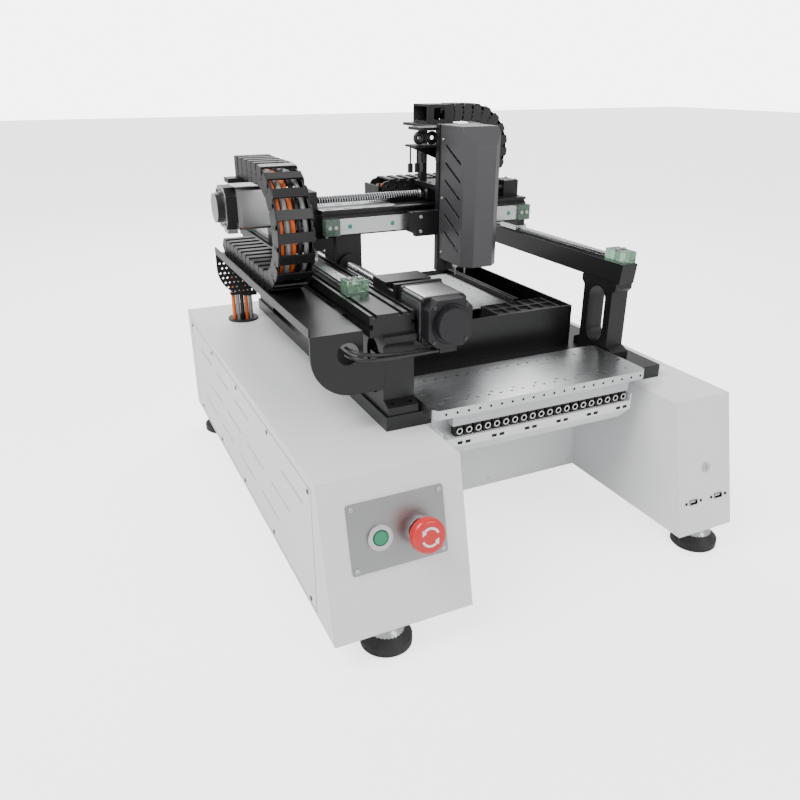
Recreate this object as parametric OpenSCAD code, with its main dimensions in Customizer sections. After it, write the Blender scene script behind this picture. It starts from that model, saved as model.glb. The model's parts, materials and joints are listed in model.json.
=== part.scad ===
// Desktop pick and place machine: two sheet housings carry a base plate, two Y beams,
// a moving gantry, a head with two nozzles, and the feeder plate at the front.
// X runs to the right, Y to the back, Z up; the front edge of the housing tops is y = 0
// inside the modules, and place() centres the machine on the origin.

/* [Housings] */
// Overall width over both housings
span_w = 578; // [572:1:590]
// Width of the left housing
left_w = 170; // [164:1:176]
// Width of the right housing
right_w = 92; // [88:1:98]
// Length of the housing tops, front to back
ped_len = 690; // [684:1:720]
// Height of the housing tops above the floor
top_z = 218; // [212:1:232]
// Clear height under the housings
foot_h = 40; // [38:0.5:44]
// How far the sloping fronts run out at their feet
front_run = 42; // [34:1:48]
// Sheet thickness of the housings and panels
sheet = 2; // [1.5:0.1:2.4]
// Radius of the levelling foot discs
foot_r = 30.5; // [26:0.5:31]

/* [Controls] */
// Control plate width
plate_w = 115; // [108:1:120]
// Control plate height
plate_h = 80; // [74:1:84]
// Radius of the 22 mm holes for the two button barrels
barrel_r = 11; // [10:0.5:12]
// Travel of the start button
start_travel = 3; // [2:0.5:4]
// Radius of the emergency stop head
estop_r = 20; // [18:0.5:22]

/* [Base and feeder plate] */
// Thickness of the base plate
base_t = 18; // [15:1:20]
// Thickness of the feeder plate
feeder_t = 12; // [10:0.5:14]
// Depth of the feeder plate, front to back
feeder_d = 110; // [104:1:112]
// Number of feeder connectors
connectors = 20; // [16:1:22]

/* [Y axis] */
// Height of the left pillars
left_pillar_h = 95; // [92:1:102]
// Height of the right pillars
right_pillar_h = 106.5; // [104:0.5:108]
// Width of the left beam
left_beam_w = 56; // [52:1:58]
// Height of the left beam
left_beam_h = 26; // [24:1:28]
// Width of the right beam
right_beam_w = 25; // [24:0.5:27]
// Width of the left Y rail
y_rail_w = 15; // [13:0.5:16]
// Radius of the Y screw
y_screw_r = 7; // [6:0.5:8]
// Side of the square Y and X motors
motor_w = 57; // [54:1:58]

/* [Gantry] */
// Depth of the X beam
x_beam_d = 62; // [60:1:64]
// Height of the X beam
x_beam_h = 36; // [34:0.5:38]
// Width of the X rail
x_rail_w = 21; // [19:0.5:22]
// Radius of the X screw
x_screw_r = 6; // [5:0.5:7]

/* [Head] */
// Width of the head cover
cover_w = 57; // [56:1:62]
// Height of the head cover
cover_h = 188; // [184:1:192]
// Distance between the two nozzles
nozzle_gap = 16.5; // [16:0.1:17]
// Radius of the nozzle spindles
spindle_r = 3; // [2.5:0.1:3.5]
// Free travel of each nozzle, up and down from rest
nozzle_travel = 29; // [25:0.5:30]

/* [Drag chains] */
// Height of the Y chain links
y_link_h = 27; // [24:0.5:28]
// Height of the X chain links
x_link_h = 27; // [24:0.5:28]

/* [Hidden] */
$fn = 48;

// clearances
run_c = 0.05;    // radial, shafts turning or sliding in bores
part_c = 0.3;    // between pieces that move past each other
seat_c = 0.2;    // between sheets fitted into each other

// housings
xl = -span_w / 2;
xr = span_w / 2;
xli = xl + left_w;
xri = xr - right_w;
tilt = atan(front_run / (top_z - foot_h));
panel_y0 = 15;
panel_y1 = ped_len - 25;
panel_z0 = foot_h + 5;
panel_z1 = top_z - 13;
panel_gap = 0.5;
lip_w = 12;
vent_len = 83;
vent_h = 4;
vent_pitch = 117;
screw_in = 7;
stud_r = 5;
feet = [[xl + 73, -12], [xr - 31, -12], [xl + 31, ped_len - 50], [xr - 31, ped_len - 50]];
hole_x = xl + 77;
hole_y = ped_len - 95;
hole_r = 21;

// controls, placed on the sloping fronts
plate_x = xl + 86.5;
plate_z = top_z - 67;
start_at = [-22.5, -3];
estop_at = [24.5, -6];
plate_t = 1.5;
head_back = 14.3;
head_top = 30;
head_round = 5;
lock_x = xr - 44;
lock_z = top_z - 92;
usb_z = top_z - 135;
usb_dx = 22;
inlet_x = xl + 45;
inlet_z = foot_h + 45;
inlet_proud = 2;
estop_z = plate_z + estop_at[1] * cos(tilt);
estop_front = -(top_z - estop_z) * tan(tilt) - (head_top - head_round) * cos(tilt)
  - (estop_r - head_round) * sin(tilt) - head_round;
mid_y = (ped_len + inlet_proud + estop_front) / 2;

// base plate and what stands on it
base_x0 = xli - 52;
base_x1 = xri + 47;
base_y0 = 83;
base_y1 = ped_len - 45;
base_z = top_z + base_t;
feeder_x0 = base_x0 + 46;
feeder_x1 = xri - 7;
feeder_y0 = 50;
feeder_z = base_z + feeder_t;
strip_z0 = base_z - 17;
shelf_z = strip_z0 - 14;
panel_y = 188;

// pillars and beams
lp_x = base_x0 + 3;
lp_w = 39.7;
rp_x = feeder_x1 + 3;
rp_w = 28;
lp_y = 98;
rp_y = 138;
rear_y = 570;
pillar_d = 60;
left_beam_x = xli - 65;
left_beam_z = base_z + left_pillar_h;
left_top = left_beam_z + left_beam_h;
right_beam_x = rp_x + 2;
right_beam_z = base_z + right_pillar_h;
right_top = left_top + 13;
beam_end = ped_len - 5;
rail_x = left_beam_x + 20;
y_rail_t = 9.5;
rail_rx = right_beam_x + right_beam_w / 2;
rail_rw = 9;
rail_rt = 6.5;
stop_y0 = 182;
stop_y1 = 205;
rear_stop = ped_len - 45;
y_screw_x = left_beam_x + 89;
y_screw_z = left_top - 13;

// gantry at rest
gan_y = 380;
gan_y1 = gan_y + x_beam_d;
car_y0 = gan_y - 9;
car_y1 = gan_y1 + 9;
car_top = left_top + 16;
beam_z = car_top + 16;
beam_top = beam_z + x_beam_h;
beam_x0 = left_beam_x + 48;
beam_x1 = right_beam_x + right_beam_w - 12;
x_rail_z = beam_z + 4;
x_rail_t = 10;
x_stop_w = 22;
saddle_x0 = left_beam_x - 13;
x_axis_y = gan_y + 43;
x_axis_z = beam_top + 9.5;

// head at rest
cover_x0 = 32.5;
cover_x1 = cover_x0 + cover_w;
cover_y0 = 264.5;
cover_y1 = gan_y - 36;
cover_z0 = beam_z - 37.5;
cover_z1 = cover_z0 + cover_h;
plate_back = cover_y1 + 10;
head_cx = cover_x0 + cover_w / 2;
noz_y = cover_y1 - 15.5;
noz_x0 = head_cx - nozzle_gap / 2;
noz_x1 = head_cx + nozzle_gap / 2;
tip_z = base_z + 91;
arm_z = tip_z + 45;
pinion_z = cover_z1 - 69;
pitch_r = 5;
tooth = 1;
rack_top = pinion_z + nozzle_travel + 5;
truck_x0 = cover_x0 - 38;
truck_x1 = cover_x0 + 96;
arm_top_z = cover_z1 - 4.5;

// drag chains: loop radius outside, length of the resting runs
tray_x0 = xl + 33;
tray_x1 = xl + 95;
tray_top = y_screw_z - 1.3;
y_chain_x = tray_x0 + 10;
y_chain_w = 48;
y_chain_r = 80;
y_loop_y = 308;
y_loop_z = tray_top + part_c + y_chain_r;
y_anchor = 540;
y_moving = 401;
x_chain_y = gan_y1 + 2;
x_chain_w = 50;
x_chain_r = 67;
x_loop_x = cover_x0 + 110;
x_loop_z = beam_top + 4 + x_chain_r;
x_anchor = -5;
x_moving = cover_x0 + 75;

// ---------- helpers ----------
module place() translate([0, -mid_y, 0]) children();
module block(a, b) translate(a) cube([b[0] - a[0], b[1] - a[1], b[2] - a[2]]);
module xcyl(x0, x1, y, z, r) translate([x0, y, z]) rotate([0, 90, 0]) cylinder(r = r, h = x1 - x0);
module ycyl(x, y0, y1, z, r) translate([x, y0, z]) rotate([-90, 0, 0]) cylinder(r = r, h = y1 - y0);
module zcyl(x, y, z0, z1, r) translate([x, y, z0]) cylinder(r = r, h = z1 - z0);
// a (y, z) outline drawn out along X, and an (x, z) outline drawn out along Y
module along_x(x0, w) translate([x0, 0, 0]) rotate([90, 0, 90]) linear_extrude(w) children();
module along_y(y0, d) translate([0, y0 + d, 0]) rotate([90, 0, 0]) linear_extrude(d) children();
module rect(a, b) translate(a) square([b[0] - a[0], b[1] - a[1]]);
module round_rect(a, b, r) {
  rect([a[0] + r, a[1]], [b[0] - r, b[1]]);
  rect([a[0], a[1] + r], [b[0], b[1] - r]);
  for (x = [a[0] + r, b[0] - r], y = [a[1] + r, b[1] - r]) translate([x, y]) circle(r);
}
// a slot with round ends, from point p over length l, h high, turned by a
module slot(p, l, h, a = 0) translate(p) rotate(a) {
  translate([h / 2, -h / 2]) square([l - h, h]);
  for (x = [h / 2, l - h / 2]) translate([x, 0]) circle(h / 2);
}
function front_y(z) = -(top_z - z) * tan(tilt);
// origin on the sloping front at height z, with local z pointing out of it
module on_slope(x, z) translate([x, front_y(z), z]) rotate([90 - tilt, 0, 0]) children();
module on_plate(at) on_slope(plate_x, plate_z) translate([at[0], at[1], 0]) children();

// ---------- housings ----------
module housing_outline(t) polygon([
  [front_y(top_z - t) + t / cos(tilt), top_z - t],
  [ped_len - t, top_z - t],
  [ped_len - t, foot_h - (t > 0 ? 1 : 0)],
  [front_y(foot_h - (t > 0 ? 1 : 0)) + t / cos(tilt), foot_h - (t > 0 ? 1 : 0)]]);
module panel_area(grow) rect([panel_y0 - grow, panel_z0 - grow], [panel_y1 + grow, panel_z1 + grow]);
// screws along the top and bottom edges of a side panel, as [y, z]
panel_screws = concat(
  [for (i = [0:4]) [panel_y0 + 10 + i * (panel_y1 - panel_y0 - 20) / 4, panel_z1 - screw_in]],
  [for (i = [0:4]) [panel_y0 + 19 + i * (panel_y1 - panel_y0 - 50) / 4, panel_z0 + screw_in]]);
module panel_screw_holes(r) for (s = panel_screws) translate(s) circle(r);
// sheet shell of one housing; out is the x of its outer wall
module housing(x0, w, out) {
  lip_x = out == x0 ? x0 + sheet : x0 + w - 2 * sheet;
  wall_x = out == x0 ? x0 - 1 : x0 + w - sheet;
  difference() {
    along_x(x0, w) housing_outline(0);
    along_x(x0 + sheet, w - 2 * sheet) housing_outline(sheet);
    along_x(wall_x, sheet + 1) panel_area(0);
  }
  along_x(lip_x, sheet) difference() {
    panel_area(2.7);
    panel_area(-lip_w);
    panel_screw_holes(1.8);
  }
}
module left_housing() color("white") difference() {
  housing(xl, left_w, xl);
  zcyl(hole_x, hole_y, top_z - 10, top_z + 5, hole_r);
  for (a = [start_at, estop_at]) on_plate(a) translate([0, 0, -10]) cylinder(r = barrel_r + 0.3, h = 20);
  block([inlet_x - 13, ped_len - 5, inlet_z - 10], [inlet_x + 13, ped_len + 5, inlet_z + 10]);
}
module right_housing() color("white") difference() {
  housing(xri, right_w, xr);
  on_slope(lock_x, lock_z) translate([0, 0, -10]) cylinder(r = 5.8, h = 20);
  for (s = [-1, 1]) on_slope(lock_x + s * usb_dx, usb_z)
    translate([-7, -3.75, -10]) cube([14, 7.5, 20]);
}
// three staggered rows of cooling slots
module vents() for (row = [0:2], i = [0:3])
  slot([panel_y0 + 29 + row * 54 + (i + (row == 0 && i > 0 ? 1 : 0)) * vent_pitch,
        top_z - 46 - row * 42.5], vent_len, vent_h);
module side_panel() difference() {
  panel_area(-panel_gap);
  vents();
  panel_screw_holes(1.8);
}
module side_panels() color("white") {
  along_x(xl, sheet) side_panel();
  along_x(xr - sheet, sheet) side_panel();
}
// bottom pans of the housings, the panel between them with its cover, and the rear panel
module pan(x0, x1) difference() {
  along_x(x0 + sheet + seat_c, x1 - x0 - 2 * (sheet + seat_c)) polygon([
    [front_y(foot_h) + (sheet + seat_c) / cos(tilt) + 0.6, foot_h],
    [ped_len - sheet - seat_c, foot_h],
    [ped_len - sheet - seat_c, foot_h + sheet],
    [front_y(foot_h) + (sheet + seat_c) / cos(tilt) + 0.6, foot_h + sheet]]);
  for (f = feet) zcyl(f[0], f[1], foot_h - 5, foot_h + 5, stud_r + 0.3);
}
cover_x = [xli + 9, xri - 7];
cover_z = [foot_h + 6, top_z - 28];
module inner_panels() color("white") {
  pan(xl, xli);
  pan(xri, xr);
  difference() {
    union() {
      block([xli, panel_y, foot_h], [xri, panel_y + sheet, top_z]);
      for (x = [xli, xri - sheet]) block([x, panel_y, foot_h], [x + sheet, panel_y + 20, top_z]);
    }
    block([cover_x[0] + 14, panel_y - 1, cover_z[0] + 14], [cover_x[1] - 14, panel_y + 5, cover_z[1] - 14]);
  }
  difference() {
    block([cover_x[0], panel_y - sheet, cover_z[0]], [cover_x[1], panel_y, cover_z[1]]);
    for (x = [cover_x[0] + 6, (cover_x[0] + cover_x[1]) / 2, cover_x[1] - 6], z = [cover_z[0] + 6, cover_z[1] - 6])
      ycyl(x, panel_y - 5, panel_y + 5, z, 1.6);
  }
  difference() {
    block([xli, base_y1 - 5, foot_h], [xri, base_y1 - 5 + sheet, top_z]);
    for (i = [0:5]) along_y(base_y1 - 10, 20) slot([xli + 100, foot_h + 50 + i * 14], 110, 5);
  }
}
module housing_screws() color("silver") {
  for (s = panel_screws) {
    xcyl(xl - 1, xl, s[0], s[1], 3);
    xcyl(xl, xl + 7, s[0], s[1], 1.5);
    xcyl(xr, xr + 1, s[0], s[1], 3);
    xcyl(xr - 7, xr, s[0], s[1], 1.5);
  }
}
module levelling_feet() color("dimgray") for (f = feet) translate([f[0], f[1], 0])
  rotate_extrude() polygon([[0, 0], [foot_r - 1.5, 0], [foot_r, 1.5], [foot_r, 11], [foot_r - 1, 12],
    [15, foot_h - 14], [stud_r + 2, foot_h - 14], [stud_r + 2, 14], [0, 14]]);
module foot_studs() color("silver") for (f = feet) translate([f[0], f[1], 0]) {
  zcyl(0, 0, 14, foot_h + 16, stud_r);
  zcyl(0, 0, 14, 17, stud_r + 1.8);
  translate([0, 0, foot_h - 8]) cylinder(r = 9, h = 8, $fn = 6);
  translate([0, 0, foot_h + sheet]) cylinder(r = 9, h = 6, $fn = 6);
}

// ---------- controls ----------
module control_plate() color("silver") on_slope(plate_x, plate_z) linear_extrude(plate_t) difference() {
  round_rect([-plate_w / 2, -plate_h / 2], [plate_w / 2, plate_h / 2], 3);
  translate(start_at) circle(barrel_r + 0.1);
  translate(estop_at) circle(barrel_r + 0.1);
  for (x = [-1, 1], y = [-1, 1]) translate([x * (plate_w / 2 - 5.5), y * (plate_h / 2 - 5.5)]) circle(1.6);
}
// collar and barrel of one button: bore for the cap above, guide for the stem below
module button_collar(rim_r, rim_h, cap_r, cap_depth, stem_r, depth) difference() {
  union() {
    translate([0, 0, plate_t]) cylinder(r = rim_r, h = rim_h);
    translate([0, 0, -depth]) cylinder(r = barrel_r, h = depth + plate_t);
  }
  translate([0, 0, -cap_depth]) cylinder(r = cap_r, h = cap_depth + plate_t + rim_h + 1);
  translate([0, 0, 3 - depth]) cylinder(r = stem_r, h = depth);
}
module button_collars() color("silver") {
  on_plate(start_at) button_collar(14.5, 3, 9 + seat_c, 5 + start_travel, 3 + run_c, 32);
  on_plate(estop_at) button_collar(15, 4.5, 8 + run_c, 20, 8 + run_c, 42);
}
module start_button() color("green") on_plate(start_at) {
  translate([0, 0, -4]) cylinder(r = 9, h = 4 + plate_t + 3.5);
  translate([0, 0, -25]) cylinder(r = 3, h = 22);
}
module estop_stem() color("dimgray") on_plate(estop_at) {
  translate([0, 0, -31]) cylinder(r = 8, h = 31 + head_back - part_c);
  cylinder(r = 4, h = head_top - 4);
}
module estop_head() color("red") on_plate(estop_at) rotate_extrude() difference() {
  union() {
    translate([0, head_back]) square([estop_r - 7, head_top - head_back]);
    translate([0, head_back + 4]) square([estop_r, head_top - head_round - head_back - 4]);
    square_ring();
    translate([estop_r - head_round, head_top - head_round]) circle(head_round);
    translate([0, head_top - head_round]) square([estop_r - head_round, head_round]);
  }
  translate([0, 0]) square([4 + run_c, head_top - 4 + part_c]);
}
module square_ring() translate([0, head_back + 3]) square([estop_r - 3, 4]);
module lock_body() color("silver") on_slope(lock_x, lock_z) difference() {
  union() {
    cylinder(r = 6.5, h = 1.5);
    translate([0, 0, -20]) cylinder(r = 5.6, h = 20);
  }
  translate([0, 0, -21]) cylinder(r = 4 + run_c, h = 25);
}
module lock_core() color("gray") on_slope(lock_x, lock_z) difference() {
  union() {
    translate([0, 0, -23]) cylinder(r = 4, h = 24.5);
    translate([-4, -4, -25]) cube([20, 8, 2.5]);
  }
  translate([-0.5, -2.75, -2.5]) cube([1, 5.5, 5]);
}
module usb_sockets() color("dimgray") for (s = [-1, 1]) on_slope(lock_x + s * usb_dx, usb_z) {
  difference() {
    translate([-6.8, -3.6, -16]) cube([13.6, 7.2, 16.6]);
    translate([-6, -2.8, -13]) cube([12, 5.6, 14]);
  }
  for (t = [-1, 1]) translate([t * 12.7, 0, 0]) cylinder(r = 2, h = 0.8);
}
module cable_grommet() color("dimgray") translate([hole_x, hole_y, top_z]) rotate_extrude() difference() {
  union() {
    square([hole_r + 4, 3]);
    translate([0, -5]) square([hole_r - seat_c, 6]);
  }
  translate([0, -6]) square([hole_r - 3, 12]);
}
module power_inlet() color("dimgray") {
  difference() {
    union() {
      block([inlet_x - 16, ped_len, inlet_z - 13], [inlet_x + 16, ped_len + inlet_proud, inlet_z + 13]);
      block([inlet_x - 12.7, ped_len - 20, inlet_z - 9.7], [inlet_x + 12.7, ped_len, inlet_z + 9.7]);
    }
    block([inlet_x - 11, ped_len - 15, inlet_z - 8], [inlet_x + 11, ped_len + 5, inlet_z + 8]);
  }
  for (p = [[-6, -2], [0, 3], [6, -2]])
    block([inlet_x + p[0] - 1, ped_len - 15, inlet_z + p[1] - 2], [inlet_x + p[0] + 1, ped_len - 6, inlet_z + p[1] + 2]);
}

// ---------- inside the housings ----------
in_z = foot_h + sheet;
module power_supply() color("silver") difference() {
  block([xl + 14, 400, in_z], [xl + 124, 600, in_z + 42]);
  block([xl + 20, 395, in_z + 14], [xl + 118, 418, in_z + 50]);
  for (i = [0:11], j = [0:5]) zcyl(xl + 32 + j * 15, 440 + i * 12, in_z + 36, in_z + 50, 3);
}
module control_board() color("darkgreen") {
  block([xl + 20, 90, in_z + 8], [xl + 140, 300, in_z + 9.6]);
  for (x = [xl + 26, xl + 134], y = [96, 294]) zcyl(x, y, in_z, in_z + 8, 3);
  for (i = [0:3]) block([xl + 30 + i * 26, 120, in_z + 9.6], [xl + 48 + i * 26, 140, in_z + 13]);
  for (i = [0:1], j = [0:6]) block([xl + 34 + i * 50, 170 + j * 5, in_z + 12], [xl + 70 + i * 50, 172 + j * 5, in_z + 28]);
  for (i = [0:1]) block([xl + 34 + i * 50, 168, in_z + 9.6], [xl + 70 + i * 50, 204, in_z + 12.5]);
  for (i = [0:4]) block([xl + 24 + i * 23, 272, in_z + 9.6], [xl + 40 + i * 23, 284, in_z + 20]);
}
module vacuum_pump() color("gray") {
  ycyl(xr - 46, 330, 392, in_z + 26, 17);
  difference() {
    block([xr - 68, 392, in_z + 4], [xr - 24, 428, in_z + 50]);
    for (x = [xr - 60, xr - 32]) zcyl(x, 410, in_z + 40, in_z + 60, 2);
  }
  block([xr - 66, 336, in_z], [xr - 26, 424, in_z + 4]);
  block([xr - 56, 340, in_z + 3], [xr - 36, 386, in_z + 12]);
}

// ---------- base, feeders ----------
module base_plate() color("dimgray") difference() {
  block([base_x0, base_y0, top_z], [base_x1, base_y1, base_z]);
  for (x = [base_x0 + 10, base_x1 - 10], y = [base_y0 + 100, 360, base_y1 - 90]) zcyl(x, y, top_z - 1, base_z + 1, 3.3);
}
feeder_w = feeder_x1 - feeder_x0;
module feeder_plate() color("silver") translate([0, 0, base_z]) linear_extrude(feeder_t) difference() {
  round_rect([feeder_x0, feeder_y0], [feeder_x1, feeder_y0 + feeder_d], 10);
  for (i = [0:16]) translate([feeder_x0 + 32 + i * (feeder_w - 66) / 16, feeder_y0 + feeder_d - 20]) circle(2.1);
  for (i = [0:17]) translate([feeder_x0 + 19 + i * (feeder_w - 24) / 18, feeder_y0 + 18]) circle(1.7);
  for (i = [0:8]) translate([feeder_x0 + 27 + i * (feeder_w - 24) / 9, feeder_y0 + 26]) circle(1.7);
  for (x = [feeder_x0 + 5, feeder_x1 - 15], y = [feeder_y0 + 48, feeder_y0 + feeder_d - 10]) slot([x, y], 10, 4);
}
strip_x0 = feeder_x0 + 30;
strip_x1 = feeder_x1 - 20;
module connector_strip() color("lightgray") block([strip_x0, feeder_y0 + 10, strip_z0], [strip_x1, feeder_y0 + 22, base_z]);
conn_pitch = (strip_x1 - strip_x0 - 17) / (connectors - 1);
module feeder_connectors() color("dimgray") for (i = [0:connectors - 1])
  translate([strip_x0 + 8.5 + i * conn_pitch, feeder_y0 + 10, shelf_z]) difference() {
    union() {
      translate([-5, 0, 0]) cube([10, 11, 14]);
      translate([0, 1, 7.5]) rotate([90, 0, 0]) cylinder(r = 4.2, h = 3);
    }
    translate([0, 6, 7.5]) rotate([90, 0, 0]) cylinder(r = 2.6, h = 12);
  }
// bent sheet under the connectors: back flange, shelf, front lip and a sloping return
chan_y0 = feeder_y0 + 6;
module channel_profile() {
  rect([base_y0 - sheet, shelf_z - sheet], [base_y0, base_z - 3]);
  rect([chan_y0, shelf_z - sheet], [base_y0, shelf_z]);
  rect([chan_y0, shelf_z - 12], [chan_y0 + sheet, shelf_z]);
  polygon([[chan_y0, shelf_z - 12], [chan_y0 + sheet, shelf_z - 11.2],
    [chan_y0 + 21.4, shelf_z - 30.6], [chan_y0 + 20, shelf_z - 32]]);
}
module channel_end() polygon([[chan_y0, shelf_z + 10], [base_y0, shelf_z + 10], [base_y0, shelf_z - 12],
  [chan_y0 + 22, shelf_z - 32], [chan_y0 + 20, shelf_z - 32], [chan_y0, shelf_z - 12]]);
module feeder_channel() color("white") {
  along_x(feeder_x0 + 13, feeder_w - 31) channel_profile();
  along_x(feeder_x0 + 13, sheet) channel_end();
  along_x(feeder_x1 - 18, sheet) channel_end();
}

// ---------- pillars, beams and rails ----------
// side view of a pillar: foot flange reaching to f0 and f1, a slot through it
module pillar_side(y0, d, z0, z1, f0, f1) difference() {
  union() {
    rect([y0, z0], [y0 + d, z1]);
    polygon([[f0, z0], [f1, z0], [f1, z0 + 10], [y0 + d, z0 + 16], [y0, z0 + 16], [f0, z0 + 10]]);
    polygon([[y0, z1 - 14], [y0 - 6, z1 - 8], [y0 - 6, z1], [y0 + d + 6, z1], [y0 + d + 6, z1 - 8], [y0 + d, z1 - 14]]);
  }
  translate([y0 + d / 2, z0 + 16]) rotate(90) slot([0, 0], z1 - z0 - 26, d * 0.57);
}
module beam_pillars() color("dimgray") {
  difference() {
    union() {
      along_x(lp_x, lp_w) pillar_side(lp_y, pillar_d, base_z, left_beam_z, lp_y - 13, lp_y + pillar_d + 12);
      along_x(lp_x, lp_w) pillar_side(rear_y, pillar_d, base_z, left_beam_z, rear_y - 12, rear_y + pillar_d + 12);
    }
    for (x = [lp_x + 9, lp_x + lp_w - 9], y = [lp_y - 6.5, rear_y + pillar_d + 6])
      zcyl(x, y, base_z + 5, base_z + 20, 2.6);
  }
  for (y = [rp_y, rear_y]) along_x(rp_x, rp_w)
    pillar_side(y, pillar_d, base_z, right_beam_z, y - 14, y + pillar_d + 12);
}
module left_beam_profile() difference() {
  rect([left_beam_x, left_beam_z], [left_beam_x + left_beam_w, left_top]);
  for (x = [left_beam_x + 4, left_beam_x + 36, left_beam_x + left_beam_w - 9]) rect([x, left_top - 4], [x + 5, left_top + 1]);
  for (x = [left_beam_x - 1, left_beam_x + left_beam_w - 4]) rect([x, left_beam_z + 9], [x + 5, left_beam_z + 15]);
}
module right_beam_profile() difference() {
  rect([right_beam_x, right_beam_z], [right_beam_x + right_beam_w, right_top]);
  for (x = [right_beam_x + 2.5, right_beam_x + right_beam_w - 5.5]) rect([x, right_top - 3], [x + 3, right_top + 1]);
}
module y_beams() color("dimgray") {
  along_y(lp_y, beam_end - lp_y) left_beam_profile();
  along_y(rp_y, beam_end - rp_y) right_beam_profile();
  along_x(right_beam_x, right_beam_w) polygon([[rp_y - 13, right_top], [rp_y, right_top],
    [rp_y, right_beam_z], [rp_y - 9, right_beam_z]]);
}
// rail section lying on z0, w wide and t high, with grooved flanks
module rail_profile(x, z0, w, t) difference() {
  rect([x - w / 2, z0], [x + w / 2, z0 + t]);
  for (s = [-1, 1]) translate([x + s * w / 2, z0 + t * 0.6]) circle(t * 0.16);
}
module y_rails() color("silver") {
  difference() {
    along_y(stop_y1 + 1, rear_stop - stop_y1 - 2) rail_profile(rail_x, left_top, y_rail_w, y_rail_t);
    for (i = [0:6]) zcyl(rail_x, stop_y1 + 31 + i * 60, left_top - 1, left_top + y_rail_t + 1, 2.2);
  }
  along_y(rp_y + 30, rear_stop - rp_y - 31) rail_profile(rail_rx, right_top, rail_rw, rail_rt);
}
module stop_block(x, y0, y1, w, z0, h) difference() {
  block([x - w / 2, y0, z0], [x + w / 2, y1, z0 + h]);
  for (s = [-1, 1]) zcyl(x + s * w * 0.25, (y0 + y1) / 2, z0 + 3, z0 + h + 1, 2.4);
}
module y_bumpers() color("lightgreen") {
  stop_block(rail_x + 1, stop_y0, stop_y1, 28, left_top, 18);
  stop_block(rail_x + 1, rear_stop, rear_stop + 23, 28, left_top, 18);
  stop_block(rail_rx, rp_y - 10, rp_y + 28, 21, right_top, 16);
  stop_block(rail_rx, rear_stop, rear_stop + 23, 21, right_top, 16);
}
mount_x0 = left_beam_x + left_beam_w;
mount_x1 = y_screw_x + 30;
module y_screw_mounts() color("dimgray") difference() {
  union() {
    block([mount_x0, 151, y_screw_z - 31], [mount_x1, 157, y_screw_z + 30]);
    block([mount_x0, 157, y_screw_z - 18], [mount_x0 + 4, 180, y_screw_z + 20]);
    block([mount_x0, 180, y_screw_z - 22], [mount_x1, 218, y_screw_z + 26]);
    block([mount_x0, rear_stop - 9, y_screw_z - 22], [mount_x1, rear_stop + 15, y_screw_z + 22]);
  }
  ycyl(y_screw_x, 150, 158, y_screw_z, 12.5);
  ycyl(y_screw_x, 179, 219, y_screw_z, y_screw_r + run_c);
  ycyl(y_screw_x, rear_stop - 10, rear_stop + 20, y_screw_z, y_screw_r + run_c);
}
// square motor along local z: face at z = 0, body and cap below it
module motor(len) difference() {
  union() {
    translate([0, 0, -len + 26]) linear_extrude(len - 26) difference() {
      round_rect([-motor_w / 2, -motor_w / 2], [motor_w / 2, motor_w / 2], 3);
      for (a = [45:90:360]) rotate(a) translate([motor_w * 0.66, -20]) square([20, 40]);
    }
    translate([0, 0, -len + 10]) linear_extrude(18) intersection() {
      square(motor_w - 1, center = true);
      rotate(45) square(motor_w * 1.12, center = true);
    }
    translate([0, 0, -len]) cylinder(r = 20, h = 12);
    translate([-11, -motor_w / 2 - 7, -len + 14]) cube([22, 9, 14]);
  }
  translate([0, 0, -13]) cylinder(r = 4 + run_c, h = 14);
}
module y_motor() color("gray") translate([y_screw_x, 151, y_screw_z]) rotate([-90, 180, 0]) motor(89);

// ---------- cables and drag chains ----------
tray_floor = tray_top - sheet;
module tray_end() difference() {
  union() {
    rect([tray_x0, tray_top - 25], [tray_x1, tray_top]);
    rect([tray_x0 + 50.5, tray_top - 75.5], [tray_x1, tray_top]);
    translate([tray_x0 + 50.5, tray_top - 25]) circle(50.5);
  }
  rect([tray_x0 - 9, tray_top], [tray_x1 + 60, tray_top + 60]);
  rect([tray_x1, tray_top - 90], [tray_x1 + 60, tray_top + 60]);
}
module cable_tray() color("dimgray") {
  block([tray_x0, lp_y, tray_floor], [tray_x1, 560, tray_top]);
  block([tray_x0, lp_y, tray_floor], [tray_x0 + sheet, 560, tray_top + 9]);
  block([tray_x1 - sheet, lp_y, tray_top - 42], [tray_x1, 560, tray_top]);
  for (y = [lp_y + 70, 330, 520]) block([tray_x1 - 1, y, tray_top - 7], [left_beam_x, y + 30, tray_floor]);
  along_y(lp_y - 3, 3) difference() {
    union() {
      tray_end();
      rect([tray_x1 - 5, tray_top - 75.5], [lp_x - 1, tray_top - 36]);
    }
    translate([tray_x0 + 44, tray_top - 25]) circle(13);
  }
  block([lp_x - 3, lp_y - 3, tray_top - 75.5], [lp_x, lp_y + 30, tray_top - 36]);
  along_y(558, sheet) difference() {
    tray_end();
    for (i = [0:6], j = [0:8]) translate([tray_x0 + 5 + j * 7 + (i % 2) * 3.5, tray_top - 66 + i * 8]) circle(1.6);
  }
}
// round tube swept along points, eight-sided
function unit(v) = v / norm(v);
function dir_at(p, i) = unit(p[min(i + 1, len(p) - 1)] - p[max(i - 1, 0)]);
function ring_at(c, t, r) = let (a = unit(cross(t, abs(t[2]) > 0.9 ? [1, 0, 0] : [0, 0, 1])), b = cross(t, a))
  [for (k = [0:7]) c + r * (cos(k * 45) * a + sin(k * 45) * b)];
module tube(p, r) {
  n = len(p);
  pts = [for (i = [0:n - 1]) each ring_at(p[i], dir_at(p, i), r)];
  sides = [for (i = [0:n - 2], k = [0:7]) [i * 8 + k, (i + 1) * 8 + k, (i + 1) * 8 + (k + 1) % 8, i * 8 + (k + 1) % 8]];
  polyhedron(points = pts, faces = concat([[for (k = [0:7]) k]], sides, [[for (k = [7:-1:0]) (n - 1) * 8 + k]]));
}
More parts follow.
